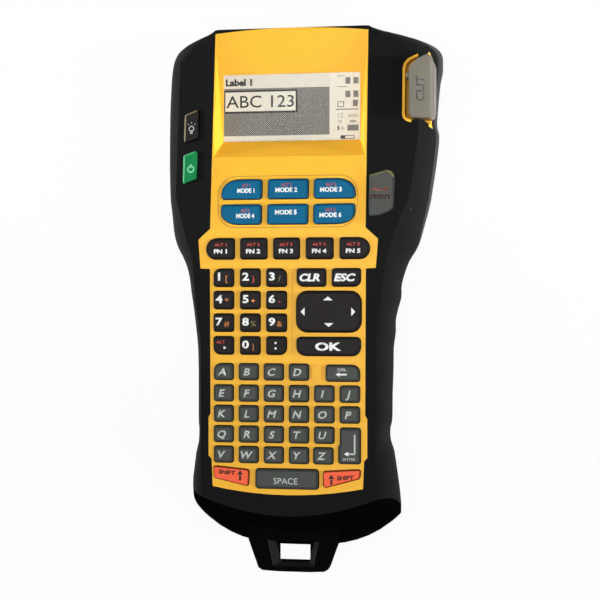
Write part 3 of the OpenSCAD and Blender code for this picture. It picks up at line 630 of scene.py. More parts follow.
FINISHES = {
    "shell_yellow": lambda: moulded(
        "Yellow Casing", colours().yellow, 0.4, 3200.0, 0.012, 0.04, 0.3, (1.0, 0.66, 0.12), 0.2
    ),
    # Painted shade: a darker yellow for the case's raised outline, for the shade along it
    "shell_shade": lambda: moulded(
        "Yellow Outline Painted Shade", (0.4, 0.2, 0.012), 0.45, 3200.0, 0.008, 0.06, 0.2, (0.6, 0.34, 0.04)
    ),
    "rubber_black": lambda: rubber("Black Rubber", 1, 0.6, 0.16, (0.035, 0.035, 0.037), 0.02),
    # Painted light: a paler rubber for the walls of the loop's funnel
    "rubber_painted_light": lambda: rubber("Rubber Painted Light", 3, 0.6, 0.1, (0.04, 0.04, 0.041), 0.05),
    # Painted shade: a deeper rubber for the end's slope and the loop
    "rubber_painted_shade": lambda: rubber("Rubber Painted Shade", 0.35, 0.62, 0.1, (0.02, 0.02, 0.021), 0.0),
    "plastic_black": lambda: moulded(
        "Black Plastic", colours().back, 0.5, 1700.0, 0.04, 0.12, 0.3, (0.06, 0.06, 0.06), 0.12
    ),
    "lever_grey": lambda: moulded(
        "Grey Lever", colours().lever, 0.35, 2800.0, 0.012, 0.06, 0.3, (0.3, 0.3, 0.3), 0.25
    ),
    "lens_clear": lambda: clear_cover("Clear Window"),
    "lcd_cream": lambda: printed("Display Ground", colours().display, 0.55),
    "lcd_white": lambda: printed("Display Panel", (0.87, 0.83, 0.69), 0.55),
    "lcd_grey": lambda: halftone(
        "Display Halftone", (0.045, 0.042, 0.036), (0.33, 0.31, 0.265), 0.53
    ),
    "board_green": lambda: banded(
        "Circuit Board", (0.01, 0.12, 0.04), (0.02, 0.19, 0.07), "X", 0.55, 2.4
    ),
    "mat_grey": lambda: moulded(
        "Key Mat", (0.075, 0.075, 0.085), 0.6, 1500.0, 0.02, 0.1, 0.0
    ),
    "steel": lambda: metal("Bright Steel", (0.56, 0.57, 0.58), 0.28),
    "contact_plate": lambda: metal(
        "Contact Plate", (0.66, 0.64, 0.58), 0.24, (60.0, 900.0, 900.0)
    ),
    "head_aluminium": lambda: metal(
        "Cast Aluminium", (0.5, 0.49, 0.46), 0.42, (500.0, 500.0, 500.0)
    ),
    "gear_brass": lambda: metal("Brass", (0.62, 0.42, 0.13), 0.26),
    "gear_plastic": lambda: moulded(
        "Gear Plastic", (0.7, 0.64, 0.49), 0.42, 1800.0, 0.01, 0.05, 0.1
    ),
    "cassette_plastic": lambda: moulded(
        "Cassette", (0.035, 0.036, 0.042), 0.32, 1400.0, 0.02, 0.12, 0.2
    ),
    "label_tape": lambda: banded(
        "Wound Tape", (0.8, 0.8, 0.78), (0.66, 0.66, 0.65), "Z", 0.5, 0.9
    ),
    "roller_rubber": lambda: moulded(
        "Roller Rubber", (0.024, 0.024, 0.025), 0.7, 1500.0, 0.03, 0.1, 0.0
    ),
    "cell_wrap": lambda: banded(
        "Cell Wrapper", (0.5, 0.2, 0.06), (0.014, 0.015, 0.018), "Y", 0.3, 53.0, 0.3
    ),
}

# The inks of the printed marks and the colours of the painted highlights on the shoulders' keys,
# as (label, colour) and a roughness where it isn't the usual one
INKS = {
    "ink_white": ("White Ink", (0.83, 0.84, 0.82)),
    "ink_pale": ("Pale Ink", (0.5, 0.53, 0.5)),
    "ink_ash": ("Ash Ink", (0.33, 0.34, 0.33)),
    "ink_grey": ("Grey Ink", (0.06, 0.058, 0.056)),
    "ink_dark": ("Dark Ink", (0.03, 0.012, 0.01)),
    "ink_red": ("Red Ink", (0.55, 0.06, 0.045)),
    "ink_brick": ("Brick Ink", (0.27, 0.05, 0.04)),
    "ink_amber": ("Amber Ink", (0.55, 0.2, 0.06)),
    "tan_painted_highlight": ("Tan Ink", (0.13, 0.105, 0.05)),
    "olive_ink_and_painted_highlight": ("Olive Ink", (0.17, 0.15, 0.05)),
    "leaf_painted_highlight": ("Leaf Ink", (0.05, 0.3, 0.12)),
    "ink_mint": ("Mint Ink", (0.2, 0.62, 0.38)),
    "ink_lcd": ("Display Ink", (0.018, 0.017, 0.016), 0.6),
    "ink_faint": ("Faint Display Ink", (0.2, 0.18, 0.14), 0.6),
}
_MATERIALS = {}


def finish(name):
    """The finish of a slot or a mark, made the first time that it is asked for"""
    if name not in _MATERIALS:
        if name in INKS:
            _MATERIALS[name] = printed(*INKS[name])
        else:
            _MATERIALS[name] = FINISHES[name]() if name in FINISHES else cap_finish(name)
    return _MATERIALS[name]


# ---- Shells --------------------------------------------------------------------

# Where the rubber begins to lap over the rim of the lever's recess, on its lower and upper side,
# how high over the recess's floor it then starts, and the middle of the recess
LOW_SPLIT, HIGH_SPLIT = 58.6, 61.4
LOW_LAP, HIGH_LAP = 5, 1
RECESS_MIDDLE = (66, 101)
# Where the end's slope and the loop begin, and half the width of the funnel round its hole
SLOPE_Y, LOOP_Y, HALF_FUNNEL = -105.5, -117, 12.6
# The share of its length that the lever's spring keeps when the lever is in
INNER_PIECES = (
    "lcd_module", "key_board", "keypad_mat", "door_hinge_pin", "tape_cassette", "tape_spool",
    "print_head", "platen_roller", "platen_gear", "drive_motor", "motor_gear", "idler_gear",
    "lever_pivot_pin", "cutter_blade", "batteries", "battery_contacts", "case_screws",
    "navigation_pivot",
)


class LABELMAKER_OT_yellow_case(bpy.types.Operator):
    """Make the yellow front case and the lever's recess"""

    bl_idname = "label_maker.yellow_case"
    bl_label = "Yellow case"

    def execute(self, context):
        yellow = finish("shell_yellow")
        dress("front_case", "fascia", yellow, sizes().case_edge, flat=0.05)
        cover_rim(dress("lever_bezel", "lever_recess", yellow, 0.3 * MM))
        return {"FINISHED"}


class LABELMAKER_OT_soft_frame(bpy.types.Operator):
    """Make the black rubber shoulders, grips and bumper"""

    bl_idname = "label_maker.soft_frame"
    bl_label = "Soft frame"

    def execute(self, context):
        for node in ("left_shoulder", "right_shoulder", "left_grip", "right_grip", "end_bumper"):
            black = finish("rubber_black")
            edge = sizes().rubber_edge
            dress(node, node + "_rubber", black, edge, steps=3, angle=34, smooth=42)
        bumper = bpy.data.objects["end_bumper_rubber"]
        # Painted shade on the end's slope and the loop
        tint_faces(bumper, finish("rubber_painted_shade"), is_slope)
        # Painted light on the walls round the loop's hole
        tint_faces(bumper, finish("rubber_painted_light"), is_funnel_wall)
        dress("rubber_feet", "feet", finish("rubber_black"), 0.5 * MM)
        return {"FINISHED"}


def is_slope(face):
    """A face of the end that falls away from the keypad, or lies beyond it: it takes painted shade
    """
    return face.normal.y < -0.2 or face.calc_center_median().y < plan(0, SLOPE_Y)[1]


def is_funnel_wall(face):
    """A slanted face round the loop's hole: it takes painted light"""
    centre = face.calc_center_median()
    inside = centre.y < plan(0, LOOP_Y)[1] and abs(centre.x - FASCIA_X) < HALF_FUNNEL * MM
    return inside and 0.1 < face.normal.z < 0.9 and face.normal.y > -0.2


def cover_rim(piece):
    """Gives the far parts of the recess's rim to the rubber, which laps over them"""
    low_split, high_split = plan(LOW_SPLIT, 0)[0], plan(HIGH_SPLIT, 0)[0]
    edit(piece)
    for place in (low_split, high_split):
        bpy.ops.mesh.select_all(action="SELECT")
        bpy.ops.mesh.bisect(plane_co=(place, 0, 0), plane_no=(1, 0, 0), threshold=0.0001 * MM)
    leave_edit()
    middle_x, middle_y, floor = plan(*RECESS_MIDDLE, low("lever_bezel")[2])

    def wanted(face):
        centre = face.calc_center_median()
        outer = face.normal.x * (centre.x - middle_x) + face.normal.y * (centre.y - middle_y) > 0
        upper = centre.y > middle_y
        far = centre.x > (high_split if upper else low_split)
        raised = centre.z > floor + (HIGH_LAP if upper else LOW_LAP) * MM
        return far and raised and (face.normal.z > 0.3 or outer or upper)

    tint_faces(piece, finish("rubber_black"), wanted)


class LABELMAKER_OT_back(bpy.types.Operator):
    """Make the back case, its cassette door and its battery cover"""

    bl_idname = "label_maker.back"
    bl_label = "Back case and covers"

    def execute(self, context):
        for node in ("back_case", "cassette_door", "battery_cover", "power_jack"):
            black = finish("plastic_black")
            dress(node, node + "_shell", black, 0.35 * MM, angle=34, smooth=42)
        return {"FINISHED"}


class LABELMAKER_OT_inner_pieces(bpy.types.Operator):
    """Give the frame's own inner pieces their finishes"""

    bl_idname = "label_maker.inner_pieces"
    bl_label = "Inner pieces"

    def execute(self, context):
        for node in INNER_PIECES:
            materials = frame["nodes"][node].data.materials
            materials.clear()
            materials.append(finish(SLOT_OF_NODE[node]))
        spring = dress(
            "lever_spring", "return_spring", finish("steel"), 0.02 * MM,
            steps=1, angle=80, smooth=60,
        )
        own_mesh(spring)
        return {"FINISHED"}


# ---- Keys ----------------------------------------------------------------------

FASCIA_KEYS = [
    "hot_key_1", "hot_key_2", "hot_key_3", "hot_key_4", "hot_key_5", "hot_key_6",
    "function_keys", "number_keys_left", "number_keys_middle", "number_keys_right",
    "clear_key", "escape_key", "navigation_pad", "ok_key", "letter_keys_row_1",
    "letter_keys_row_2", "letter_keys_row_3", "letter_keys_row_4", "letter_keys_row_5",
    "backspace_key", "enter_key", "space_key", "shift_key_left", "shift_key_right",
]
SHOULDER_KEYS = ["power_key", "backlight_key", "print_key"]


# The least area of a cap's top, in square millimetres
CAP_TOP_AREA = 25


def is_cap_top(face):
    """A cap's top is the only face on a key that looks up and fills its own rectangle"""
    spans = [max(values) - min(values) for values in zip(*(vert.co for vert in face.verts))]
    area = face.calc_area()
    least = max(CAP_TOP_AREA * MM * MM, 0.5 * spans[0] * spans[1])
    return face.normal.z > 0.85 and area > least


def round_rim(width, height, steps):
    """Insets that turn a flat top's edge into a quarter of an ellipse"""
    angles = [math.pi / 2 * step / steps for step in range(steps + 1)]
    for start, end in zip(angles, angles[1:]):
        bpy.ops.mesh.inset(
            thickness=width * (math.cos(start) - math.cos(end)),
            depth=height * (math.sin(end) - math.sin(start)),
        )


# The insets that swell a key's top, as (width, share of the crown's height)
CROWN_RINGS = ((0.18, 0.6), (0.16, 0.4))
# The edges of the shoulders' keys that take a painted highlight on the side that faces a direction,
# as (direction, ink), and how far below the top their colour reaches
LIT_EDGES = {
    "backlight_key": (Vector((-0.9, 0.44, 0)), "tan_painted_highlight"),
    "power_key": (Vector((-1, 0, 0)), "leaf_painted_highlight"),
    "print_key": (Vector((0, 1, 0)), "olive_ink_and_painted_highlight"),
}
LIT_DEPTH = 6


def paint_rim_shade_and_highlight(piece, name, node):
    """Paints the gap's shade on a cap's rim and sides, and a highlight on a shoulder key's edge"""
    # Painted shade on the rim and sides of the cap
    tint_faces(piece, finish(name + "_rim"), lambda face: face.normal.z < 0.93)
    if node in LIT_EDGES:
        direction, ink = LIT_EDGES[node]
        top = max(vert.co.z for vert in piece.data.vertices)
        # Painted highlight: the side of the rim that faces the direction takes a lighter colour
        tint_faces(
            piece, finish(ink),
            lambda face: 0.1 < face.normal.z < 0.96 and face.normal.dot(direction) > 0.2
            and face.calc_center_median().z > top - LIT_DEPTH * MM,
        )


def flatten_top(piece):
    """Lays the corners of a cap's top on one plane, so that it takes an even rim"""
    mesh = bmesh.from_edit_mesh(piece.data)
    for face in mesh.faces:
        if face.select:
            centre, normal = face.calc_center_median(), face.normal.copy()
            for vert in face.verts:
                across = vert.co - centre
                vert.co.z = centre.z - (normal.x * across.x + normal.y * across.y) / normal.z
    bmesh.update_edit_mesh(piece.data)


def crown_key(piece, node):
    """Rounds a key's top edge and swells all tops but the shift keys', inside the solid's height"""
    rim, crown = sizes().key_rim, sizes().key_crown
    edit(piece)
    pick_faces(piece, is_cap_top)
    if node in SHOULDER_KEYS:
        flatten_top(piece)
    sink = rim + crown + sizes().legend_rise
    bpy.ops.transform.translate(value=(0, 0, -sink))
    round_rim(sizes().key_rim_width, rim, 4)
    for width, share in () if node.startswith("shift_key") else CROWN_RINGS:
        bpy.ops.mesh.inset(thickness=width * MM, depth=crown * share)
    leave_edit()
    shade(piece, 50)


class LABELMAKER_OT_keys(bpy.types.Operator):
    """Make the caps of all the keys"""

    bl_idname = "label_maker.keys"
    bl_label = "Keys"

    def execute(self, context):
        for node in FASCIA_KEYS + SHOULDER_KEYS:
            flat = 8 if node in SHOULDER_KEYS else 0.4
            cap = solid_copy(node, node + "_cap", merge=0.03 * MM, flat=flat)
            crown_key(cap, node)
            slot = SLOT_OF_NODE[node]
            settle(cap, BODY_OF_NODE[node], finish(slot), [node])
            # Painted shade on each cap's rim, and painted highlights on the shoulders' keys
            paint_rim_shade_and_highlight(cap, slot, node)
        return {"FINISHED"}


class LABELMAKER_OT_lever(bpy.types.Operator):
    """Make the cutter lever"""

    bl_idname = "label_maker.lever"
    bl_label = "Cutter lever"

    def execute(self, context):
        grey = finish("lever_grey")
        dress("cut_lever", "lever_cap", grey, 0.9 * MM, steps=3, angle=25, smooth=50)
        return {"FINISHED"}


# ---- Display and legends ---------------------------------------------------------

# Half the window's width and its ends, the thickness of a layer of the picture, and how far off
# the picture the clear window's underside stands
WINDOW_X, WINDOW_LOW, WINDOW_HIGH = 33.75, 77.4, 110.2
LAYER = 0.015
WINDOW_GAP = 0.15


def on_display(across, down, layer):
    """A place on the display by its shares of the window's width and height, and its layer"""
    y = WINDOW_HIGH + (WINDOW_LOW - WINDOW_HIGH) * down
    return plan((2 * across - 1) * WINDOW_X, y, high("lcd_module")[2] + layer * LAYER * MM)


def panel(left, right, top, bottom, layer, ink):
    """A rectangle of the display's picture, by its edges as shares of the window"""
    width = (right - left) * 2 * WINDOW_X
    height = (bottom - top) * (WINDOW_HIGH - WINDOW_LOW)
    place = on_display((left + right) / 2, (top + bottom) / 2, layer)
    return stamp(flat_bar(width, height), place, ink)


# The picture's parts, as (left, right, top, bottom, layer, ink)
PANELS = (
    (0.0, 1.0, 0.0, 1.0, 0, "lcd_cream"),
    (0.782, 1.0, 0.0, 1.0, 1, "lcd_white"),
    (0.0, 0.782, 0.92, 1.0, 1, "lcd_white"),
    (0.0, 0.775, 0.205, 0.912, 1, "lcd_grey"),
    (0.006, 0.544, 0.232, 0.575, 2, "ink_lcd"),
    (0.012, 0.529, 0.258, 0.545, 3, "lcd_white"),
    (0.82, 0.985, 0.538, 0.55, 2, "ink_lcd"),
    (0.83, 0.885, 0.045, 0.055, 2, "ink_faint"),
    (0.83, 0.905, 0.205, 0.215, 2, "ink_faint"),
    (0.833, 0.88, 0.425, 0.438, 2, "ink_faint"),
    (0.833, 0.88, 0.5, 0.512, 2, "ink_faint"),
    (0.833, 0.839, 0.425, 0.512, 2, "ink_faint"),
    (0.875, 0.881, 0.425, 0.512, 2, "ink_faint"),
    (0.856, 0.889, 0.928, 0.982, 2, "ink_lcd"),
    (0.885, 0.957, 0.93, 0.94, 2, "ink_lcd"),
    (0.885, 0.957, 0.972, 0.982, 2, "ink_lcd"),
    (0.952, 0.957, 0.93, 0.982, 2, "ink_lcd"),
    (0.833, 0.848, 0.79, 0.85, 2, "ink_faint"),
    (0.905, 0.985, 0.775, 0.862, 2, "lcd_grey"),
)
# The small hatched marks beside the label, by their middles and half their sizes
HATCHED = ((0.908, 0.12), (0.966, 0.12), (0.908, 0.32), (0.966, 0.32), (0.963, 0.455))
HATCH_X, HATCH_Y = 0.018, 0.048
# The readings, as (words, across, down, height, widening, weight, ink)
READINGS = (
    ("Label 1", 0.112, 0.113, 3.0, 1.1, 0.045, "ink_lcd"),
    ("ABC 123", 0.268, 0.402, 5.7, 1.1, 0.004, "ink_lcd"),
    ("1:2", 0.855, 0.632, 2.2, 0.8, 0.0, "ink_faint"),
    ("AUTO", 0.945, 0.64, 1.1, 1.1, 0.02, "ink_faint"),
    ("12", 0.852, 0.722, 1.2, 1.1, 0.02, "ink_faint"),
    ("MM", 0.945, 0.722, 1.1, 1.2, 0.02, "ink_faint"),
    ("A", 0.87, 0.82, 1.9, 0.8, 0.0, "ink_faint"),
)


class LABELMAKER_OT_display(bpy.types.Operator):
    """Make the display's picture and the clear window over it"""

    bl_idname = "label_maker.display"
    bl_label = "Display"

    def execute(self, context):
        marks = [panel(*values) for values in PANELS]
        marks += [
            panel(x - HATCH_X, x + HATCH_X, y - HATCH_Y, y + HATCH_Y, 2, "lcd_grey")
            for x, y in HATCHED
        ]
        marks += [
            stamp(lettering(words, height, wide, weight), on_display(x, y, 4), ink)
            for words, x, y, height, wide, weight, ink in READINGS
        ]
        picture = join(marks, "display_picture")
        thicken(picture, 0.8 * LAYER * MM)
        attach(picture, CASE)

        window = solid_copy("display_lens", "display_window")
        near_underside = low("display_lens")[2] + 0.1 * MM
        edit(window)
        pick_faces(
            window,
            lambda face: face.normal.z < -0.9 and face.calc_center_median().z < near_underside,
        )
        bpy.ops.transform.translate(value=(0, 0, WINDOW_GAP * MM))
        leave_edit()
        shade(window, 30)
        settle(window, CASE, finish("lens_clear"), ["display_lens"])
        return {"FINISHED"}


def word(words, x, y, ink, height, wide=1.0, weight=0.03, slant=0.0, turn=0.0):
    return lettering, (words, height, wide, weight, slant), x, y, ink, turn


def bar(width, height, x, y, ink, turn=0.0):
    return flat_bar, (width, height), x, y, ink, turn


def point(width, height, x, y, ink, turn=0.0):
    return flat_point, (width, height), x, y, ink, turn


def ring(size, line, x, y, ink):
    return flat_ring, (size, line), x, y, ink, 0.0


# Each mark is (shape, its values, x, y, ink, turn), by the plan's millimetres and degrees
LETTER_ROWS = (
    ("ABCD", -34.4), ("EFGHIJ", -44.65), ("KLMNOP", -54.5), ("QRSTU", -64.3), ("VWXYZ", -74.1)
)
LETTER_X, LETTER_PITCH = -30.85, 12.2
NUMBER_COLUMNS = (("left", -30.85, "147"), ("middle", -17.9, "2580"), ("right", -5.1, "369"))
NUMBER_ROWS = (10.7, -0.05, -10.9, -21.8)
SHIFTED = {
    "1": ("[", "ink_amber"), "2": (")", "ink_red"), "3": ("/", "olive_ink_and_painted_highlight"),
    "4": ("*", "ink_amber"), "5": ("+", "ink_amber"), "6": ("-", "ink_red"),
    "7": ("#", "ink_amber"), "8": ("%", "olive_ink_and_painted_highlight"), "9": ("&", "ink_amber"),
    "0": ("|", "ink_amber"),
}
DOT = 0.95


def hot_key_marks():
    """Two lines on each quick key, the upper one small and red, or the lower one alone"""
    marks = {}
    offsets = ((2.2, -0.7, 0.84), (-0.7, -0.5, 1.0), (-1.6, -0.6, 1.0))
    for index in range(6):
        row, column = divmod(index, 3)
        x, y = (-22.4, 0.2, 22.6)[column], (53.2, 41.0)[row]
        dx, dy, wide = offsets[column]
        alone = index == 4
        name, shifted = f"MODE {index + 1}", f"ALT {index + 1}"
        name_y = y + (0.9 if alone else dy)
        lines = [word(name, x + dx, name_y, "ink_white", 2.0, wide, 0.04)]
        if not alone:
            lines.append(word(shifted, x + dx, name_y + 2.5, "ink_red", 1.35, wide, 0.02))
        marks[f"hot_key_{index + 1}"] = lines
    return marks


def function_key_marks():
    lines = []
    for index, x in enumerate((-32.2, -16.2, -0.3, 15.7, 31.9)):
        lines.append(word(f"FN {index + 1}", x, 23.3, "ink_white", 1.9, 1.25, 0.04))
        lines.append(word(f"ALT {index + 1}", x, 26.5, "ink_red", 1.35, 1.25, 0.02))
    return {"function_keys": lines}


def number_key_marks():
    marks = {}
    for column, x, digits in NUMBER_COLUMNS:
        lines = []
        for digit, y in zip(digits, NUMBER_ROWS):
            sign, ink = SHIFTED[digit]
            lines.append(word(digit, x - 2.0, y + 0.5, "ink_white", 3.5, 1.25, 0.035))
            lines.append(word(sign, x + 1.7, y - 0.4, ink, 2.6, 1.1, 0.01))
        marks[f"number_keys_{column}"] = lines
    last = NUMBER_ROWS[-1]
    marks["number_keys_left"] += [
        bar(DOT, DOT, -30.2, last - 1.1, "ink_white"),
        word("ALT", -32.1, last + 1.6, "ink_red", 1.35, 1.2, 0.02),
    ]
    marks["number_keys_right"] += [
        bar(DOT, DOT, -5.3, last + side * 1.3, "ink_white") for side in (1, -1)
    ]
    return marks


def letter_key_marks():
    marks = {}
    for row, (letters, y) in enumerate(LETTER_ROWS):
        lines = []
        for column, letter in enumerate(letters):
            x = LETTER_X + LETTER_PITCH * column - (1.2 if letter == "Z" else 0.7)
            lines.append(word(letter, x, y, "ink_pale", 3.3, 1.1, 0.03, 0.22))
        marks[f"letter_keys_row_{row + 1}"] = lines
    return marks


def shift_arrow(x, y):
    return point(3.0, 2.2, x, y, "ink_dark"), bar(1.1, 2.4, x, y - 2.2, "ink_dark")


def command_key_marks():
    pad_x, pad_y = 20.05, -5.55
    return {
        "clear_key": [word("CLR", 11.2, 10.7, "ink_white", 3.3, 1.12, 0.045, 0.2)],
        "escape_key": [word("ESC", 27.9, 10.7, "ink_white", 3.3, 1.2, 0.045, 0.2)],
        "ok_key": [word("OK", 20.0, -22.1, "ink_white", 3.5, 1.55, 0.045)],
        "space_key": [word("SPACE", -0.5, -86.3, "ink_pale", 2.9, 0.98, 0.0)],
        "navigation_pad": [
            point(width, height, pad_x + dx, pad_y + dy, "ink_white", turn)
            for width, height, dx, dy, turn in (
                (4.6, 1.8, -0.2, 6.0, 0), (4.6, 1.8, 0.2, -6.0, 180),
                (4.0, 1.9, -12.0, 0, 90), (4.0, 1.9, 11.6, 0, -90),
            )
        ],
        "backspace_key": [
            word("DEL", 26.6, -33.0, "ink_pale", 1.2, 1.4, 0.03),
            point(2.1, 2.0, 24.8, -35.3, "ink_white", 90),
            bar(3.4, 0.75, 27.2, -35.3, "ink_white"),
        ],
        "enter_key": [
            bar(0.75, 9.2, 32.6, -68.4, "ink_pale"),
            bar(3.2, 0.75, 31.0, -72.9, "ink_pale"),
            point(2.2, 2.0, 28.9, -72.9, "ink_white", 90),
            word("ENTER", 30.0, -75.4, "ink_pale", 1.15, 1.2, 0.01),
        ],
        "shift_key_left": [
            word("SHIFT", -29.0, -82.6, "ink_dark", 1.8, 1.2, 0.045, 0.15, -5),
            *shift_arrow(-22.6, -83.0),
        ],
        "shift_key_right": [
            word("SHIFT", 28.2, -84.2, "ink_dark", 1.8, 1.2, 0.045, 0.15, 4),
            *shift_arrow(21.5, -84.2),
        ],
    }


def shoulder_marks():
    lamp_x, lamp_y = -48.5, 83.2
    power_x, power_y = -48.2, 63.6
    rays = [
        bar(0.32, 1.0, lamp_x + dx, lamp_y + dy, "ink_ash", turn)
        for dx, dy, turn in ((0, 3.3, 0), (-1.7, 2.5, 40), (1.7, 2.5, -40))
    ]
    return {
        "print_key": [
            word("ALT", 44.1, 52.6, "ink_brick", 1.5, 2.4, 0.03),
            word("PRINT", 44.6, 49.0, "ink_dark", 1.8, 1.4, 0.06, 0.1),
        ],
        "backlight_key": rays + [
            ring(2.9, 0.55, lamp_x, lamp_y + 0.4, "ink_ash"),
            bar(1.3, 1.3, lamp_x, lamp_y - 1.5, "ink_ash"),
        ],
        "power_key": [
            ring(3.6, 0.6, power_x, power_y, "ink_mint"),
            bar(0.6, 2.0, power_x, power_y + 1.5, "ink_mint"),
        ],
        "cut_lever": [word("CUT", 63.0, 100.6, "ink_grey", 3.7, 1.12, 0.012, 0.0, 90)],
    }


# How far above its cap a legend lies: the shoulders' keys have slanting tops
LEGEND_GAP, SLANTED_GAP = 0.005, 0.06


def print_on(node, marks):
    """Prints marks on a cap, and lets them move with it"""
    cap = bpy.data.objects["lever_cap" if node == "cut_lever" else node + "_cap"]
    above = high(node)[2] + MM
    pieces = [
        stamp(make(*values), plan(x, y, above), ink, turn)
        for make, values, x, y, ink, turn in marks
    ]
    sheet = join(pieces, node + "_legend")
    lay_on(sheet, cap, (SLANTED_GAP if node in SHOULDER_KEYS else LEGEND_GAP) * MM)
    thicken(sheet, 0.6 * sizes().legend_rise)
    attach(sheet, BODY_OF_NODE[node])


class LABELMAKER_OT_legends(bpy.types.Operator):
    """Print the plain digits, letters, arrows and words on the keys and the lever"""

    bl_idname = "label_maker.legends"
    bl_label = "Legends"

    def execute(self, context):
        makers = (
            hot_key_marks, function_key_marks, number_key_marks, letter_key_marks,
            command_key_marks, shoulder_marks,
        )
        for maker in makers:
            for node, marks in maker().items():
                print_on(node, marks)
        return {"FINISHED"}


# The outline's middle, its size, the rounding of its corners and the thickness of its bead
OUTLINE_MIDDLE = (-0.2, 47.2)
OUTLINE_SIZE = (67.8, 24.9)
OUTLINE_CORNER, BEAD_RADIUS = 8.8, 0.19


class LABELMAKER_OT_outline(bpy.types.Operator):
    """Make the fine raised outline round the quick keys"""

    bl_idname = "label_maker.outline"
    bl_label = "Outline of the quick keys"

    def execute(self, context):
        deselect()
        bpy.ops.mesh.primitive_plane_add(size=1, location=plan(*OUTLINE_MIDDLE, KEY_TOP))
        bead = context.active_object
        bead.name = bead.data.name = "quick_key_outline"
        bead.scale = (OUTLINE_SIZE[0] * MM, OUTLINE_SIZE[1] * MM, 1)
        bpy.ops.object.transform_apply()
        edit_whole(bead)
        bpy.ops.mesh.bevel(offset=OUTLINE_CORNER * MM, segments=10, affect="VERTICES")
        bpy.ops.mesh.delete(type="ONLY_FACE")
        leave_edit()
        lay_on(bead, bpy.data.objects["fascia"], 0)
        activate(bead)
        bpy.ops.object.convert(target="CURVE")
        bead.data.bevel_depth = BEAD_RADIUS * MM
        bead.data.bevel_resolution = 2
        bpy.ops.object.convert(target="MESH")
        shade(bead, 60)
        bead.data.materials.clear()
        # Painted shade: the bead takes a darker yellow than the case
        bead.data.materials.append(finish("shell_shade"))
        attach(bead, CASE)
        return {"FINISHED"}


# ---- Stage ---------------------------------------------------------------------

# The soft lamps over the keypad, as (name, place, size, share of the main power)
LAMPS = (
    ("right_lamp", (0.85, -0.25, 0.62), (0.4, 0.5), 0.5),
    ("left_lamp", (-0.8, -0.25, 0.65), (0.4, 0.5), 0.22),
    ("top_lamp", (0.05, 0.04, 0.98), (0.6, 0.6), 0.53),
)
# The low lamps that light the display's bevels, as (name, place across, share), and their shape
STRIPS = (("right_strip", 0.95, 0.019), ("left_strip", -0.95, 0.0185))
STRIP_HEIGHT, STRIP_SIZE, STRIP_SPREAD = 0.18, (0.1, 0.1), 20
# The middle of the view: across from the fascia's middle, and up from the lower end
VIEW_X, VIEW_Y = 6.2, 133.3


def soft_lamp(name, place, target, size, power, spread=180):
    deselect()
    bpy.ops.object.light_add(type="AREA", location=place)
    lamp = bpy.context.active_object
    lamp.name = name
    lamp.data.shape = "RECTANGLE"
    lamp.data.size, lamp.data.size_y = size
    lamp.data.energy = power
    lamp.data.spread = math.radians(spread)
    lamp.rotation_euler = (Vector(target) - Vector(place)).to_track_quat("-Z", "Y").to_euler()
    return lamp


def seen_rays(tree):
    """The rays by which a background is seen, straight or in metal and glass"""
    path = add(tree, "ShaderNodeLightPath")
    seen = math_node(tree, "MAXIMUM", path.outputs["Is Camera Ray"], path.outputs["Is Glossy Ray"])
    return path, math_node(tree, "MAXIMUM", seen, path.outputs["Is Transmission Ray"])


def floor_material():
    """Floor that shows white, keeps the object's shadow and throws back little light"""
    material, tree, shader = new_material("Floor")
    path, seen = seen_rays(tree)
    tone = mix(tree, scaled((0.85,) * 3), scaled((0.2,) * 3), path.outputs["Is Diffuse Ray"])
    feed(tree, shader, Base_Color=tone, Roughness=0.9)
    glow = feed(tree, add(tree, "ShaderNodeEmission"), Color=scaled((1.0,) * 3))
    blend = add(tree, "ShaderNodeMixShader")
    feed(tree, blend, Fac=math_node(tree, "MULTIPLY", seen, 0.93))
    set_or_link(tree, blend.inputs[1], shader.outputs["BSDF"])
    set_or_link(tree, blend.inputs[2], glow.outputs["Emission"])
    feed(tree, tree.nodes["Material Output"], Surface=blend.outputs["Shader"])
    return material


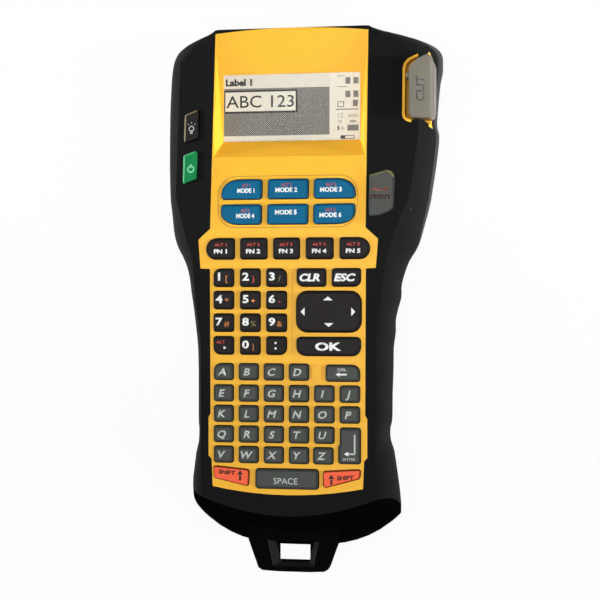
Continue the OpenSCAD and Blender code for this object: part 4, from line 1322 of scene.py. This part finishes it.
class LABELMAKER_OT_stage(bpy.types.Operator):
    """Set the floor, the lamps and the camera"""

    bl_idname = "label_maker.stage"
    bl_label = "Stage"

    def execute(self, context):
        scene = context.scene
        stage = scene.label_maker_stage
        scene.view_settings.view_transform = "Standard"

        deselect()
        bpy.ops.mesh.primitive_plane_add(size=40, location=(0, 0, 0))
        floor = context.active_object
        floor.name = "floor"
        floor.data.materials.append(floor_material())

        world = bpy.data.worlds.new("Studio")
        world.use_nodes = True
        tree = world.node_tree
        glow = math_node(tree, "MULTIPLY_ADD", seen_rays(tree)[1], 0.8, 0.2)
        feed(tree, tree.nodes["Background"], Color=(1, 1, 1, 1), Strength=glow)
        scene.world = world

        power = stage.lamp_power
        for name, place, size, share in LAMPS:
            soft_lamp(name, place, (0, 0, DECK / 2), size, power * share)
        window = tuple(middle("display_lens"))
        for name, x, share in STRIPS:
            place = (x, window[1], STRIP_HEIGHT)
            soft_lamp(name, place, window, STRIP_SIZE, power * share, STRIP_SPREAD)

        eye = Vector((math.sin(stage.camera_turn), 0, math.cos(stage.camera_turn)))
        target = Vector((FASCIA_X + VIEW_X * MM, CAD_LOW[1] + VIEW_Y * MM, DECK))
        camera_data = bpy.data.cameras.new("Camera")
        camera_data.lens = stage.camera_lens
        camera_data.sensor_width = 36
        camera = bpy.data.objects.new("Camera", camera_data)
        scene.collection.objects.link(camera)
        camera.location = target + eye * stage.camera_distance
        camera.rotation_euler = (0, stage.camera_turn, 0)
        scene.camera = camera
        return {"FINISHED"}


# ---- Panel and registration ------------------------------------------------------

PIECE_OPERATORS = (
    LABELMAKER_OT_yellow_case,
    LABELMAKER_OT_soft_frame,
    LABELMAKER_OT_back,
    LABELMAKER_OT_inner_pieces,
    LABELMAKER_OT_keys,
    LABELMAKER_OT_lever,
    LABELMAKER_OT_display,
    LABELMAKER_OT_legends,
    LABELMAKER_OT_outline,
)


class LABELMAKER_PT_panel(bpy.types.Panel):
    """Lists the label maker's operators"""

    bl_label = "Label Maker"
    bl_idname = "LABELMAKER_PT_panel"
    bl_space_type = "VIEW_3D"
    bl_region_type = "UI"
    bl_category = "Label Maker"

    def draw(self, context):
        column = self.layout.column()
        for operator in PIECE_OPERATORS + (LABELMAKER_OT_stage,):
            column.operator(operator.bl_idname)


SETTINGS = {
    "label_maker_sizes": LabelMakerSizes,
    "label_maker_colours": LabelMakerColours,
    "label_maker_stage": LabelMakerStage,
}
CLASSES = tuple(SETTINGS.values()) + PIECE_OPERATORS + (LABELMAKER_OT_stage, LABELMAKER_PT_panel)


def register():
    for cls in CLASSES:
        bpy.utils.register_class(cls)
    for name, cls in SETTINGS.items():
        setattr(bpy.types.Scene, name, bpy.props.PointerProperty(type=cls))


def unregister():
    for name in SETTINGS:
        delattr(bpy.types.Scene, name)
    for cls in reversed(CLASSES):
        bpy.utils.unregister_class(cls)


def main():
    register()
    for operator in PIECE_OPERATORS + (LABELMAKER_OT_stage,):
        group, name = operator.bl_idname.split(".")
        getattr(getattr(bpy.ops, group), name)()


if __name__ == "__main__":
    main()
